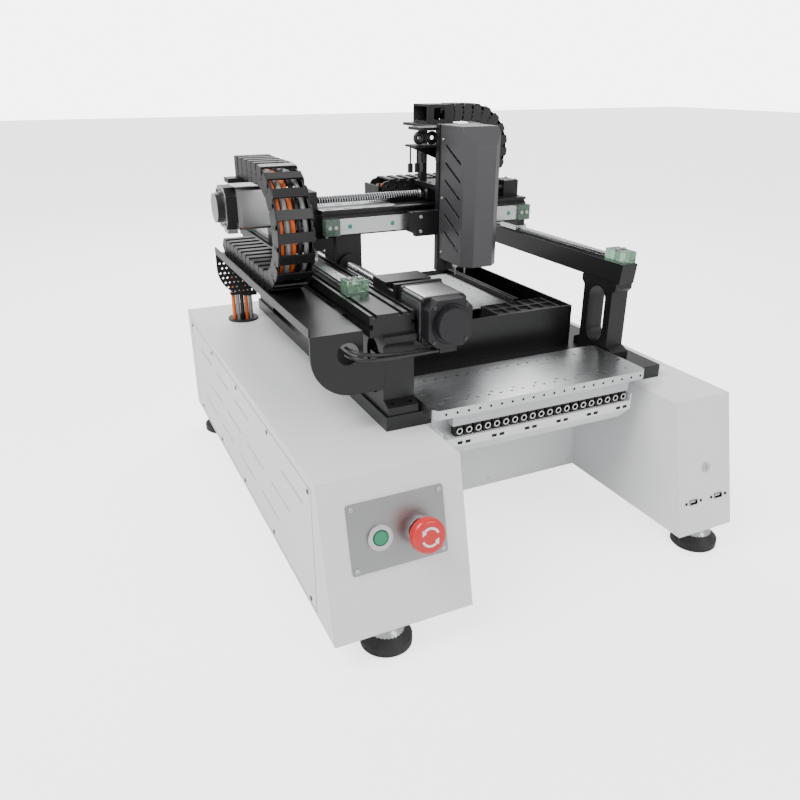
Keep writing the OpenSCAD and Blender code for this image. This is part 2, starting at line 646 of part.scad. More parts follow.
// points of a smooth curve through the four control points of a cubic
function bez(c, t) = pow(1 - t, 3) * c[0] + 3 * pow(1 - t, 2) * t * c[1] + 3 * (1 - t) * t * t * c[2] + t * t * t * c[3];
function curve(c, n) = [for (i = [0:n]) bez(c, i / n)];
loom_bend = 26;
loom_z = tray_top + part_c + y_link_h / 2;
loom_r = 3.4;
loom_pitch = (hole_r - 3 - loom_r - part_c) / 2;
// the two leads run from the hole in the tray's end plate to the plug under the motor
lead_end = [y_screw_x - 11 - part_c, 79, y_screw_z - motor_w / 2 - 4.5];
function motor_lead(k) = [[tray_x0 + 44, lp_y + 4, tray_top - 28 + k * 7.5],
  [tray_x0 + 46, 58, tray_top - 28 + k * 7.5], lead_end + [-50, k * 7.5, 0], lead_end + [0, k * 7.5, 0]];
module cable_loom() color("darkorange") {
  for (i = [-2:2]) translate([hole_x + i * loom_pitch, 0, 0]) {
    zcyl(0, hole_y, top_z - 8, loom_z - loom_bend, loom_r);
    translate([0, hole_y - loom_bend, loom_z - loom_bend]) rotate([90, 0, 90])
      rotate_extrude(angle = 90) translate([loom_bend, 0]) circle(loom_r);
    ycyl(0, y_anchor + 2, hole_y - loom_bend, loom_z, loom_r);
  }
  for (k = [0, 1]) tube(curve(motor_lead(k), 14), 2.2);
}
// drag chain in its own frame: the loop bulges to +x about the origin, runs go to -x;
// h link height, r outer loop radius, w width along y, lo and up the two run lengths
module chain_path(r0, r1, lo, up) {
  intersection() {
    difference() { circle(r1); circle(r0); }
    translate([0, -r1 - 5]) square([r1 + 5, 2 * r1 + 10]);
  }
  rect([-lo, -r1], [0, -r0]);
  rect([-up, r0], [0, r1]);
}
module rung(r, w, t, len) translate([r - t, 1, -len / 2]) cube([t, w - 2, len]);
module drag_chain(h, r, w, lo, up, pitch) {
  rm = r - h / 2;
  n = floor(180 / (pitch / rm * 180 / PI));
  for (y = [0, w - 4]) translate([0, y + 4, 0]) rotate([90, 0, 0]) linear_extrude(4) chain_path(r - h, r, lo, up);
  for (k = [r - 0.4, r - h + 2.9]) {
    for (i = [0:n]) rotate([0, 90 - i * 180 / n, 0]) rung(k, w, 2.5, pitch * 0.45);
    for (i = [1:floor((lo - pitch / 2) / pitch)]) translate([-i * pitch, 0, 0]) rotate([0, 90, 0]) rung(k, w, 2.5, pitch * 0.45);
    for (i = [1:floor((up - pitch / 2) / pitch)]) translate([-i * pitch, 0, 0]) rotate([0, -90, 0]) rung(k, w, 2.5, pitch * 0.45);
  }
}
y_lo = y_anchor - y_loop_y;
y_up = y_moving - y_loop_y;
module y_drag_chain() color("dimgray") translate([y_chain_x, y_loop_y, y_loop_z]) rotate([0, 0, -90])
  drag_chain(y_link_h, y_chain_r, y_chain_w, y_lo, y_up, 23);
x_lo = x_loop_x - x_anchor;
x_up = x_loop_x - x_moving;
module x_drag_chain() color("dimgray") translate([x_loop_x, x_chain_y, x_loop_z])
  drag_chain(x_link_h, x_chain_r, x_chain_w, x_lo, x_up, 15);

// ---------- work area ----------
box_x0 = xli + 4;
box_x1 = xri - 16;
box_y0 = 206;
box_y1 = 478;
box_top = base_z + 60;
wall = 3;
rib_x = [38, 112];
rod_y = [292, 450];
rod_z = base_z + 32;
rod_r = 4;
rail_top = base_z + 61;
tray_y1 = 258;
module work_box() color("dimgray") {
  difference() {
    block([box_x0, box_y0, base_z], [box_x1, box_y1, box_top]);
    block([box_x0 + wall, box_y0 + wall, base_z + 4], [box_x1 - wall, box_y1 - wall, box_top + 1]);
  }
  block([56, box_y0, box_top - 16], [box_x1 - 1, tray_y1, box_top - 12]);
  block([56, tray_y1 - 4, base_z + 2], [box_x1 - 1, tray_y1, box_top - 12]);
  for (x = rib_x) block([x, tray_y1 + 8, base_z + 2], [x + wall, box_y1 - 1, base_z + 52]);
  for (y = rod_y) xcyl(box_x0 + 1, rib_x[1] + 1, y, rod_z, rod_r);
  block([rib_x[1] + 7, tray_y1 + 8, base_z + 2], [rib_x[1] + 10, box_y1 - 1, rail_top]);
  block([rib_x[1] + 13, tray_y1 + 8, base_z + 2], [rib_x[1] + 16, box_y1 - 1, rail_top]);
}
module board_plate() color("silver") difference() {
  block([rib_x[0] - 1, tray_y1 + 8, base_z + 52], [rib_x[1] + 6, box_y1 - wall - 1, base_z + 54]);
  for (i = [0:2], j = [0:6]) zcyl(rib_x[0] + 14 + i * 25, tray_y1 + 28 + j * 27, base_z + 50, base_z + 56, 2);
}
module clamp_rail() color("gray") difference() {
  union() {
    block([rib_x[0] - 21, tray_y1 + 8, base_z + 56], [rib_x[0] - 9, box_y1 - wall - 4, rail_top]);
    block([rib_x[0] - 17, tray_y1 + 8, base_z + 44], [rib_x[0] - 13, box_y1 - wall - 4, rail_top]);
    for (y = rod_y) block([rib_x[0] - 24, y - 9, rod_z - 9], [rib_x[0] - 8, y + 9, base_z + 46]);
  }
  for (y = rod_y) xcyl(rib_x[0] - 40, rib_x[0] + 10, y, rod_z, rod_r + run_c);
}
module ic_tray() color("dimgray") difference() {
  block([58, box_y0 + wall + part_c, box_top - 12], [163, tray_y1, box_top]);
  for (i = [0:4], j = [0:1]) block([61 + i * 20.4, box_y0 + 7 + j * 23.5, box_top - 3.5],
    [78.5 + i * 20.4, box_y0 + 27.5 + j * 23.5, box_top + 1]);
}

// ---------- gantry ----------
module x_beam_profile() difference() {
  rect([gan_y, beam_z], [gan_y1, beam_top]);
  rect([gan_y - 1, beam_top - 7], [gan_y + 4, beam_top - 3.5]);
  for (y = [gan_y + 14, gan_y1 - 8]) rect([y, beam_top - 5], [y + 5, beam_top + 1]);
  for (z = [beam_z + 8, beam_z + 22]) rect([gan_y1 - 5, z], [gan_y1 + 1, z + 5]);
  for (y = [gan_y + 12, gan_y1 - 18]) rect([y, beam_z - 1], [y + 6, beam_z + 5]);
}
module x_beam() color("dimgray") {
  along_x(beam_x0, beam_x1 - beam_x0) x_beam_profile();
  translate([0, 0, beam_top]) linear_extrude(1) difference() {
    polygon([[beam_x0, gan_y + 2], [-26, gan_y + 2], [-16, gan_y + 12], [-16, gan_y1 - 12], [-26, gan_y1 - 2], [beam_x0, gan_y1 - 2]]);
    for (i = [0:3], y = [gan_y + 9, gan_y1 - 14]) slot([beam_x0 + 8 + i * 28, y], 12, 4, 0);
  }
}
// truck block running on a rail section: groove cut with clearance
module truck(x0, x1, y0, y1, z0, z1, rx, rw, rz) difference() {
  block([x0, y0, z0], [x1, y1, z1]);
  block([rx - rw / 2 - part_c, y0 - 1, z0 - 1], [rx + rw / 2 + part_c, y1 + 1, rz + part_c]);
}
module y_carriages() color("silver") {
  for (y = [car_y0, car_y1 - 36]) truck(rail_x - 16, rail_x + 16, y, y + 36, left_top + 3, car_top, rail_x, y_rail_w, left_top + y_rail_t);
  truck(rail_rx - 10, rail_rx + 10, gan_y + 8, gan_y1 - 8, right_top + 1.5, right_top + 10, rail_rx, rail_rw, right_top + rail_rt);
}
nut_y0 = gan_y + 5;
nut_y1 = gan_y1 - 7;
module gantry_saddles() color("dimgray") {
  block([saddle_x0, car_y0, car_top], [beam_x0 + 12, car_y1, beam_z]);
  block([right_beam_x, gan_y, right_top + 10], [beam_x1, gan_y1, beam_z]);
  difference() {
    block([y_screw_x - 20, nut_y0, y_screw_z - 20], [y_screw_x + 20, nut_y1, beam_z]);
    ycyl(y_screw_x, nut_y0 - 1, nut_y1 + 1, y_screw_z, 13 + seat_c);
  }
  difference() {
    union() {
      ycyl(y_screw_x, nut_y0 - 6, nut_y1 + 5, y_screw_z, 13);
      ycyl(y_screw_x, nut_y0 - 6, nut_y0, y_screw_z, 18);
    }
    ycyl(y_screw_x, nut_y0 - 10, nut_y1 + 10, y_screw_z, y_screw_r + run_c);
  }
}
rail_x0 = beam_x0 + x_stop_w;
rail_x1 = beam_x1 - x_stop_w;
module x_rail() color("silver") difference() {
  along_x(rail_x0, rail_x1 - rail_x0) difference() {
    rect([gan_y - x_rail_t, x_rail_z], [gan_y, x_rail_z + x_rail_w]);
    for (z = [x_rail_z, x_rail_z + x_rail_w]) translate([gan_y - 6, z]) circle(1.6);
  }
  for (i = [0:4]) ycyl(rail_x0 + 16 + i * (rail_x1 - rail_x0 - 32) / 4, gan_y - 12, gan_y + 1, x_rail_z + x_rail_w / 2, 2.6);
}
module x_bumpers() color("lightgreen") for (x = [beam_x0, beam_x1 - x_stop_w]) difference() {
  block([x, gan_y - 13, x_rail_z - 1], [x + x_stop_w, gan_y, x_rail_z + x_rail_w + 1]);
  for (s = [6.5, 15.5]) ycyl(x + s, gan_y - 14, gan_y - 4, x_rail_z + x_rail_w / 2, 2.4);
}
module x_motor() color("gray") translate([saddle_x0, x_axis_y, x_axis_z]) rotate([90, 0, 90]) motor(81);
post_x = saddle_x0 + 7;
shelf_top = y_loop_z + y_chain_r - y_link_h - part_c;
module x_screw_mounts() color("dimgray") {
  difference() {
    union() {
      block([saddle_x0, x_axis_y - 29, beam_z], [post_x, x_axis_y + 29, x_axis_z + 29]);
      block([post_x, x_axis_y - 29, beam_z], [beam_x0, x_axis_y - 24, beam_z + 30]);
      block([beam_x0 - 27, x_axis_y - 25, beam_z], [beam_x0, x_axis_y + 20, x_axis_z + 16]);
    }
    xcyl(saddle_x0 - 1, post_x + 1, x_axis_y, x_axis_z, 12.5);
    xcyl(beam_x0 - 28, beam_x0 + 1, x_axis_y, x_axis_z, x_screw_r + run_c);
  }
  difference() {
    block([beam_x1 - 27, x_axis_y - 18, beam_top], [beam_x1, x_axis_y + 18, x_axis_z + 14]);
    xcyl(beam_x1 - 28, beam_x1 + 1, x_axis_y, x_axis_z, x_screw_r + run_c);
  }
  // shelf and end box that pull the Y chain along
  block([saddle_x0, x_axis_y - 29, x_axis_z + 28], [post_x, x_axis_y - 5, shelf_top]);
  block([tray_x0 - 6, x_axis_y - 29, shelf_top - 6], [post_x, x_axis_y - 5, shelf_top]);
  difference() {
    block([y_chain_x, y_moving, shelf_top], [y_chain_x + y_chain_w, y_moving + 16, shelf_top + part_c + y_link_h]);
    block([y_chain_x + 4, y_moving - 1, shelf_top + 4], [y_chain_x + y_chain_w - 4, y_moving + 20, shelf_top + part_c + y_link_h - 4]);
  }
}
x_tray_top = x_loop_z - x_chain_r - part_c;
module x_chain_tray() color("dimgray") {
  block([x_anchor - 17, gan_y1, x_tray_top - sheet], [x_anchor + 170, x_chain_y + x_chain_w + 2, x_tray_top]);
  block([x_anchor - 17, gan_y1, beam_z + 6], [x_anchor + 170, x_chain_y - 0.3, x_tray_top]);
  block([x_anchor - 17, gan_y1, x_tray_top - sheet], [x_anchor - 15, x_chain_y + x_chain_w + 2, x_tray_top + 18]);
  block([x_anchor - 17, x_chain_y + x_chain_w, x_tray_top - sheet], [x_anchor + 170, x_chain_y + x_chain_w + 2, x_tray_top + 10]);
  block([x_anchor - 16, x_chain_y + 4, x_tray_top - 1], [x_anchor - part_c, x_chain_y + x_chain_w - 4, x_tray_top + 4]);
}

// ---------- screws and couplings ----------
module y_screw() color("silver") {
  ycyl(y_screw_x, 139, 167, y_screw_z, 4);
  difference() {
    ycyl(y_screw_x, 159, 178.5, y_screw_z, 11.5);
    ycyl(y_screw_x, 158, 169, y_screw_z, 4 + run_c);
    ycyl(y_screw_x, 169, 180, y_screw_z, y_screw_r + run_c);
  }
  ycyl(y_screw_x, 171, rear_stop + 12, y_screw_z, y_screw_r);
}
coup_x = post_x + 3;
module x_screw() color("silver") {
  xcyl(saddle_x0 - 12, coup_x + 9, x_axis_y, x_axis_z, 4);
  difference() {
    xcyl(coup_x, beam_x0 - 29, x_axis_y, x_axis_z, 11.5);
    xcyl(coup_x - 1, coup_x + 11, x_axis_y, x_axis_z, 4 + run_c);
    xcyl(coup_x + 11, beam_x0, x_axis_y, x_axis_z, x_screw_r + run_c);
  }
  xcyl(coup_x + 12, beam_x1 - 4, x_axis_y, x_axis_z, x_screw_r);
}

// ---------- head ----------
module head_plate() color("dimgray") {
  block([cover_x0 - 2, cover_y1, tip_z + 5], [cover_x1 + 2, plate_back, cover_z1]);
  difference() {
    block([truck_x0, cover_y1, beam_z - 3], [truck_x1, plate_back, beam_top - 4]);
    for (x = [truck_x0 + 8, truck_x1 - 8], z = [beam_z + 4, beam_top - 11]) ycyl(x, cover_y1 - 1, cover_y1 + 5, z, 3);
  }
  for (x = [truck_x0, truck_x1 - 62]) difference() {
    block([x, plate_back, x_rail_z - 4], [x + 62, gan_y - 2, x_rail_z + x_rail_w + 4]);
    block([x - 1, gan_y - x_rail_t - part_c, x_rail_z - part_c], [x + 63, gan_y + 1, x_rail_z + x_rail_w + part_c]);
  }
  // bridge over the beam to the screw nut
  difference() {
    union() {
      block([cover_x0 + 6, plate_back, x_axis_z + 12], [cover_x1 - 4, gan_y1 - 2, x_axis_z + 19]);
      block([cover_x0 + 12, x_axis_y - 17, beam_top + 1.6], [cover_x1 - 8, x_axis_y + 17, x_axis_z + 13]);
    }
    xcyl(cover_x0, cover_x1, x_axis_y, x_axis_z, x_screw_r + run_c);
  }
  // guide rails of the two nozzle slides
  for (x = [noz_x0, noz_x1]) block([x - 2.5, cover_y1 - 4, cover_z0 + 4], [x + 2.5, cover_y1, cover_z1 - 20]);
}
// outline of the cover seen from above, t inside the outer faces
module cover_plan(t) polygon([[cover_x0 + t, cover_y1 + (t > 0 ? 1 : 0)], [cover_x0 + t, cover_y0 + 12.4 + t * 0.4],
  [cover_x0 + 13.4 + t * 0.4, cover_y0 + t], [cover_x1 - 13.4 - t * 0.4, cover_y0 + t],
  [cover_x1 - t, cover_y0 + 12.4 + t * 0.4], [cover_x1 - t, cover_y1 + (t > 0 ? 1 : 0)]]);
// the sloping cut over the front of the cover, shifted in by t
module cover_cut(t) along_x(cover_x0 - 5, cover_w + 10) polygon([
  [cover_y0 - 5, cover_z1 - 31 - t], [cover_y0 + 18.5 + t * 0.3, cover_z1 - t + 0.01],
  [cover_y0 + 18.5, cover_z1 + 9], [cover_y0 - 5, cover_z1 + 9]]);
module head_cover() color("gray") difference() {
  difference() {
    translate([0, 0, cover_z0]) linear_extrude(cover_h) cover_plan(0);
    cover_cut(0);
  }
  difference() {
    translate([0, 0, cover_z0 - 1]) linear_extrude(cover_h - sheet + 1) cover_plan(sheet);
    cover_cut(sheet);
  }
  for (i = [0:5]) along_x(cover_x0 - 5, cover_w + 10)
    slot([cover_y0 + 20, cover_z1 - 49 - i * 24], 50, 4, 27);
}
module chain_arm() color("dimgray") {
  block([cover_x0 + 12, gan_y1 - 14, x_axis_z + 19], [cover_x0 + 22, gan_y1 - 2, arm_top_z - 4]);
  block([cover_x0 + 12, plate_back, arm_top_z - 4], [x_moving, x_chain_y + x_chain_w, arm_top_z]);
  block([cover_x0 - 27, plate_back, arm_top_z - 4], [cover_x0 + 12.5, plate_back + 40, arm_top_z]);
  // shelf for the hoses with its gusset
  block([cover_x0 - 34, plate_back, arm_top_z - 27], [cover_x0 + 16, plate_back + 36, arm_top_z - 24]);
  along_y(plate_back + 18, 3) polygon([[cover_x0 - 34, arm_top_z - 27], [cover_x0 + 16, arm_top_z - 27], [cover_x0 + 16, arm_top_z - 47]]);
  block([cover_x0 + 8, plate_back, arm_top_z - 47], [cover_x0 + 16, plate_back + 21, arm_top_z - 1]);
  // end box of the X chain
  difference() {
    block([cover_x0 + 30, x_chain_y, arm_top_z], [x_moving, x_chain_y + x_chain_w, arm_top_z + x_link_h]);
    block([cover_x0 + 29, x_chain_y + 3, arm_top_z + 3], [x_moving + 1, x_chain_y + x_chain_w - 3, arm_top_z + x_link_h - 3]);
    along_y(x_chain_y - 1, 6) round_rect([cover_x0 + 41, arm_top_z + 5], [cover_x0 + 60, arm_top_z + x_link_h - 5], 3);
  }
}
zm_y = cover_y1 - 39;
module z_motor() color("gray") {
  difference() {
    block([head_cx - 17.5, zm_y - 30, pinion_z - 17.5], [head_cx + 17.5, zm_y, pinion_z + 17.5]);
    ycyl(head_cx, zm_y - 8, zm_y + 1, pinion_z, 2.5 + run_c);
  }
  difference() {
    union() {
      block([head_cx - 23, zm_y, pinion_z - 22], [head_cx + 23, zm_y + 3, pinion_z + 22]);
      for (x = [head_cx - 23, head_cx + 20]) block([x, zm_y, pinion_z - 22], [x + 3, cover_y1, pinion_z + 22]);
    }
    ycyl(head_cx, zm_y - 1, zm_y + 4, pinion_z, 8);
  }
}
module board_camera() color("dimgray") {
  block([cover_x1 - 11, cover_y0 + 8, cover_z0 + 8], [cover_x1 - 8, cover_y1, cover_z0 + 32]);
  block([head_cx - 9, cover_y0 + 8, cover_z0 + 8], [cover_x1 - 10, cover_y0 + 32, cover_z0 + 36]);
  difference() {
    zcyl(head_cx + 3, cover_y0 + 20, cover_z0 - 4, cover_z0 + 9, 8);
    zcyl(head_cx + 3, cover_y0 + 20, cover_z0 - 5, cover_z0, 6.5);
  }
}
hose_z = arm_top_z - 24;
module head_hoses() color("black") {
  for (x = [cover_x0 - 22, cover_x0 - 2]) translate([x, plate_back + 14, hose_z + 9.5]) rotate([90, 0, 0])
    rotate_extrude() translate([6, 0]) circle(3.2);
  for (i = [0:2]) translate([cover_x0 - 30 + i * 11, plate_back + 26, hose_z - 3]) {
    zcyl(0, 0, -24, 0, 1.2);
    translate([-3, -2.5, -36]) cube([6, 5, 13]);
  }
}
// toothed wheel between the two racks; tips stay clear of the rack faces
teeth = 10;
module z_pinion() color("gold") {
  difference() {
    ycyl(head_cx, cover_y1 - 10, cover_y1 - 2.5, pinion_z, pitch_r - part_c / 2);
    for (i = [0:teeth - 1]) translate([head_cx, cover_y1 - 11, pinion_z]) rotate([0, i * 360 / teeth, 0])
      translate([pitch_r - 1.3, 0, -0.75]) cube([3, 10, 1.5]);
  }
  ycyl(head_cx, zm_y - 7, cover_y1 - 3, pinion_z, 2.5);
}
// one nozzle slide; s is -1 for the left one and 1 for the right one
module nozzle_slide(x, s) {
  inner = head_cx + s * (pitch_r + part_c / 2);
  outer = head_cx + s * 15.3;
  mid = head_cx + s * 0.35;
  difference() {
    union() {
      block([min(mid, outer), noz_y - 8, arm_z], [max(mid, outer), cover_y1 - part_c, arm_z + 16]);
      block([min(inner, outer), cover_y1 - 10, arm_z + 1], [max(inner, outer), cover_y1 - part_c, rack_top]);
      zcyl(x, noz_y, arm_z + 15, arm_z + 61, 6.9);
    }
    block([x - 2.5 - part_c, cover_y1 - 4 - part_c, arm_z - 1], [x + 2.5 + part_c, cover_y1 + 1, rack_top + 1]);
    zcyl(x, noz_y, arm_z - 1, arm_z + 62, spindle_r + run_c);
    // rack teeth
    for (i = [0:21]) translate([inner, 0, pinion_z - 33 + i * PI])
      block([-1.1, cover_y1 - 11, -0.8], [1.1, cover_y1 - 3, 0.8]);
  }
}
module nozzle_left_slide() color("silver") nozzle_slide(noz_x0, -1);
module nozzle_right_slide() color("silver") nozzle_slide(noz_x1, 1);
module nozzle_spindle(x) translate([x, noz_y, 0]) rotate_extrude() polygon([
  [0, tip_z], [0.9, tip_z], [1.3, tip_z + 8], [2.6, tip_z + 12], [5, tip_z + 13], [5, tip_z + 24],
  [4, tip_z + 26], [4, tip_z + 38], [spindle_r, tip_z + 39], [spindle_r, arm_z + 65], [0, arm_z + 65]]);
module nozzle_left_spindle() color("silver") nozzle_spindle(noz_x0);
module nozzle_right_spindle() color("silver") nozzle_spindle(noz_x1);

place() left_housing();
place() right_housing();
place() side_panels();
place() inner_panels();
place() housing_screws();
place() levelling_feet();
place() foot_studs();
place() control_plate();
place() button_collars();
place() lock_body();
place() usb_sockets();
place() cable_grommet();
place() power_inlet();
place() power_supply();
place() control_board();
place() vacuum_pump();
place() base_plate();
place() feeder_plate();
place() connector_strip();
place() feeder_connectors();
place() feeder_channel();
place() beam_pillars();
place() y_beams();
place() y_rails();
place() y_bumpers();
place() y_screw_mounts();
place() y_motor();
place() cable_tray();
place() cable_loom();
place() y_drag_chain();
place() work_box();
place() board_plate();
place() ic_tray();
place() start_button();
place() estop_stem();
place() estop_head();
place() lock_core();
place() clamp_rail();
place() x_beam();
place() gantry_saddles();
place() y_carriages();
place() x_rail();
place() x_bumpers();
place() x_motor();
place() x_screw_mounts();
place() x_chain_tray();
place() x_drag_chain();
place() y_screw();
place() x_screw();
place() head_plate();
place() head_cover();
place() chain_arm();
place() z_motor();
place() board_camera();
place() head_hoses();
place() z_pinion();
place() nozzle_left_slide();
place() nozzle_right_slide();
place() nozzle_left_spindle();
place() nozzle_right_spindle();
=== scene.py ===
# Desktop pick and place machine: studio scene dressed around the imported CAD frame.
import bpy, json, math
from mathutils import Matrix, Vector


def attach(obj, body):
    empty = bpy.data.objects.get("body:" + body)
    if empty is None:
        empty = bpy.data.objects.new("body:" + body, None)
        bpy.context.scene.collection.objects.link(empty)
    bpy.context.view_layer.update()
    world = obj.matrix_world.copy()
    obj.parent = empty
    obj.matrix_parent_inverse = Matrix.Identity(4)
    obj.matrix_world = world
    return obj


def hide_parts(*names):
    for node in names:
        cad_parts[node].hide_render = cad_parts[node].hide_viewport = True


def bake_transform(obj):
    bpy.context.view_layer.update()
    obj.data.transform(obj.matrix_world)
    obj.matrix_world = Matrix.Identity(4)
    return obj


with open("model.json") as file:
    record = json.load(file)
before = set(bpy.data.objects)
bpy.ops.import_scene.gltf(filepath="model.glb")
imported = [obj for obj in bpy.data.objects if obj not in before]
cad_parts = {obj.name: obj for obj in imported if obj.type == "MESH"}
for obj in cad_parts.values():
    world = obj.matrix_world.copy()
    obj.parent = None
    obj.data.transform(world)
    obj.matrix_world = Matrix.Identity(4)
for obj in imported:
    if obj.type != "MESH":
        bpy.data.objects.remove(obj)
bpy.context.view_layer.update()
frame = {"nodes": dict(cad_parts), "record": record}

# All sizes below are in mm of the part's own frame; W() turns them into the row frame.
MY = 321.018  # Y of the row frame's origin
TOP, RUN, RISE = 218, 42, 178  # top of the housings; their fronts run out by 42 over a height of 178
TILT = math.degrees(math.atan(RUN / RISE))
PLATE_X, PLATE_Z = -202.5, 151  # centre of the control plate
START_AT, ESTOP_AT = (-22.5, -3), (24.5, -6)  # the two buttons on it
USB_X, USB_DX, USB_Z = 245, 22, 83  # middle, half pitch and height of the USB sockets
TRAY_TOP, BEAM_TOP, GAP = 342.7, 425, 0.3
Y_SCREW_X, Y_SCREW_Z = -95, 344
X_AXIS_Y, X_AXIS_Z = 423, 434.5
HOLE_X, HOLE_Y, HOLE_R = -212, 595, 21  # cable grommet
LOOM_R = 3.4


def W(x, y, z):
    return Vector((x / 1000, (y - MY) / 1000, z / 1000))


def move(x, y, z):
    return Matrix.Translation((x, y, z))


def turn(degrees, axis):
    return Matrix.Rotation(math.radians(degrees), 4, axis)


def quads(n, rows):
    """Faces between rows of n points each, closed round."""
    return [[r * n + i, r * n + (i + 1) % n, (r + 1) * n + (i + 1) % n, (r + 1) * n + i]
            for r in range(rows - 1) for i in range(n)]


# ---------- camera ----------
cam_data = bpy.data.cameras.new("camera")
cam_data.sensor_width = 36
cam_data.lens = 33.33
cam = bpy.data.objects.new("camera", cam_data)
cam.location = W(-489.6, -632.5, 601.8)
cam.rotation_euler = (math.radians(90 - 23.639), 0, math.radians(-25.154))
bpy.context.scene.collection.objects.link(cam)
bpy.context.scene.camera = cam


# ---------- materials ----------
def material(name, col, rough=0.5, metal=0.0, scale=(60, 60, 60), var=0.06, bump=0.05, rvar=0.08,
             edge=0.0006, coat=0.0, trans=0.0):
    m = bpy.data.materials.new(name)
    m.use_nodes = True
    t = m.node_tree
    t.nodes.clear()
    new = t.nodes.new
    out, b = new("ShaderNodeOutputMaterial"), new("ShaderNodeBsdfPrincipled")
    tc, mp, no = new("ShaderNodeTexCoord"), new("ShaderNodeMapping"), new("ShaderNodeTexNoise")
    mp.inputs["Scale"].default_value = scale
    no.inputs["Scale"].default_value = 10
    no.inputs["Detail"].default_value = 4
    mix = new("ShaderNodeMix")
    mix.data_type = "RGBA"
    mix.inputs["A"].default_value = (*[max(0, c * (1 - var)) for c in col], 1)
    mix.inputs["B"].default_value = (*[min(1, c * (1 + var)) for c in col], 1)
    rr = new("ShaderNodeMapRange")
    rr.inputs["To Min"].default_value = max(0.02, rough - rvar)
    rr.inputs["To Max"].default_value = min(1, rough + rvar)
    bu = new("ShaderNodeBump")
    bu.inputs["Strength"].default_value = bump
    bu.inputs["Distance"].default_value = 0.0004
    be = new("ShaderNodeBevel")
    be.samples = 3
    be.inputs["Radius"].default_value = edge
    b.inputs["Metallic"].default_value = metal
    b.inputs["Coat Weight"].default_value = coat
    b.inputs["Transmission Weight"].default_value = trans
    link = t.links.new
    link(tc.outputs["Object"], mp.inputs["Vector"])
    link(mp.outputs["Vector"], no.inputs["Vector"])
    link(no.outputs["Fac"], mix.inputs["Factor"])
    link(no.outputs["Fac"], rr.inputs["Value"])
    link(no.outputs["Fac"], bu.inputs["Height"])
    link(mix.outputs["Result"], b.inputs["Base Color"])
    link(rr.outputs["Result"], b.inputs["Roughness"])
    link(be.outputs["Normal"], bu.inputs["Normal"])
    link(bu.outputs["Normal"], b.inputs["Normal"])
    link(b.outputs["BSDF"], out.inputs["Surface"])
    return m


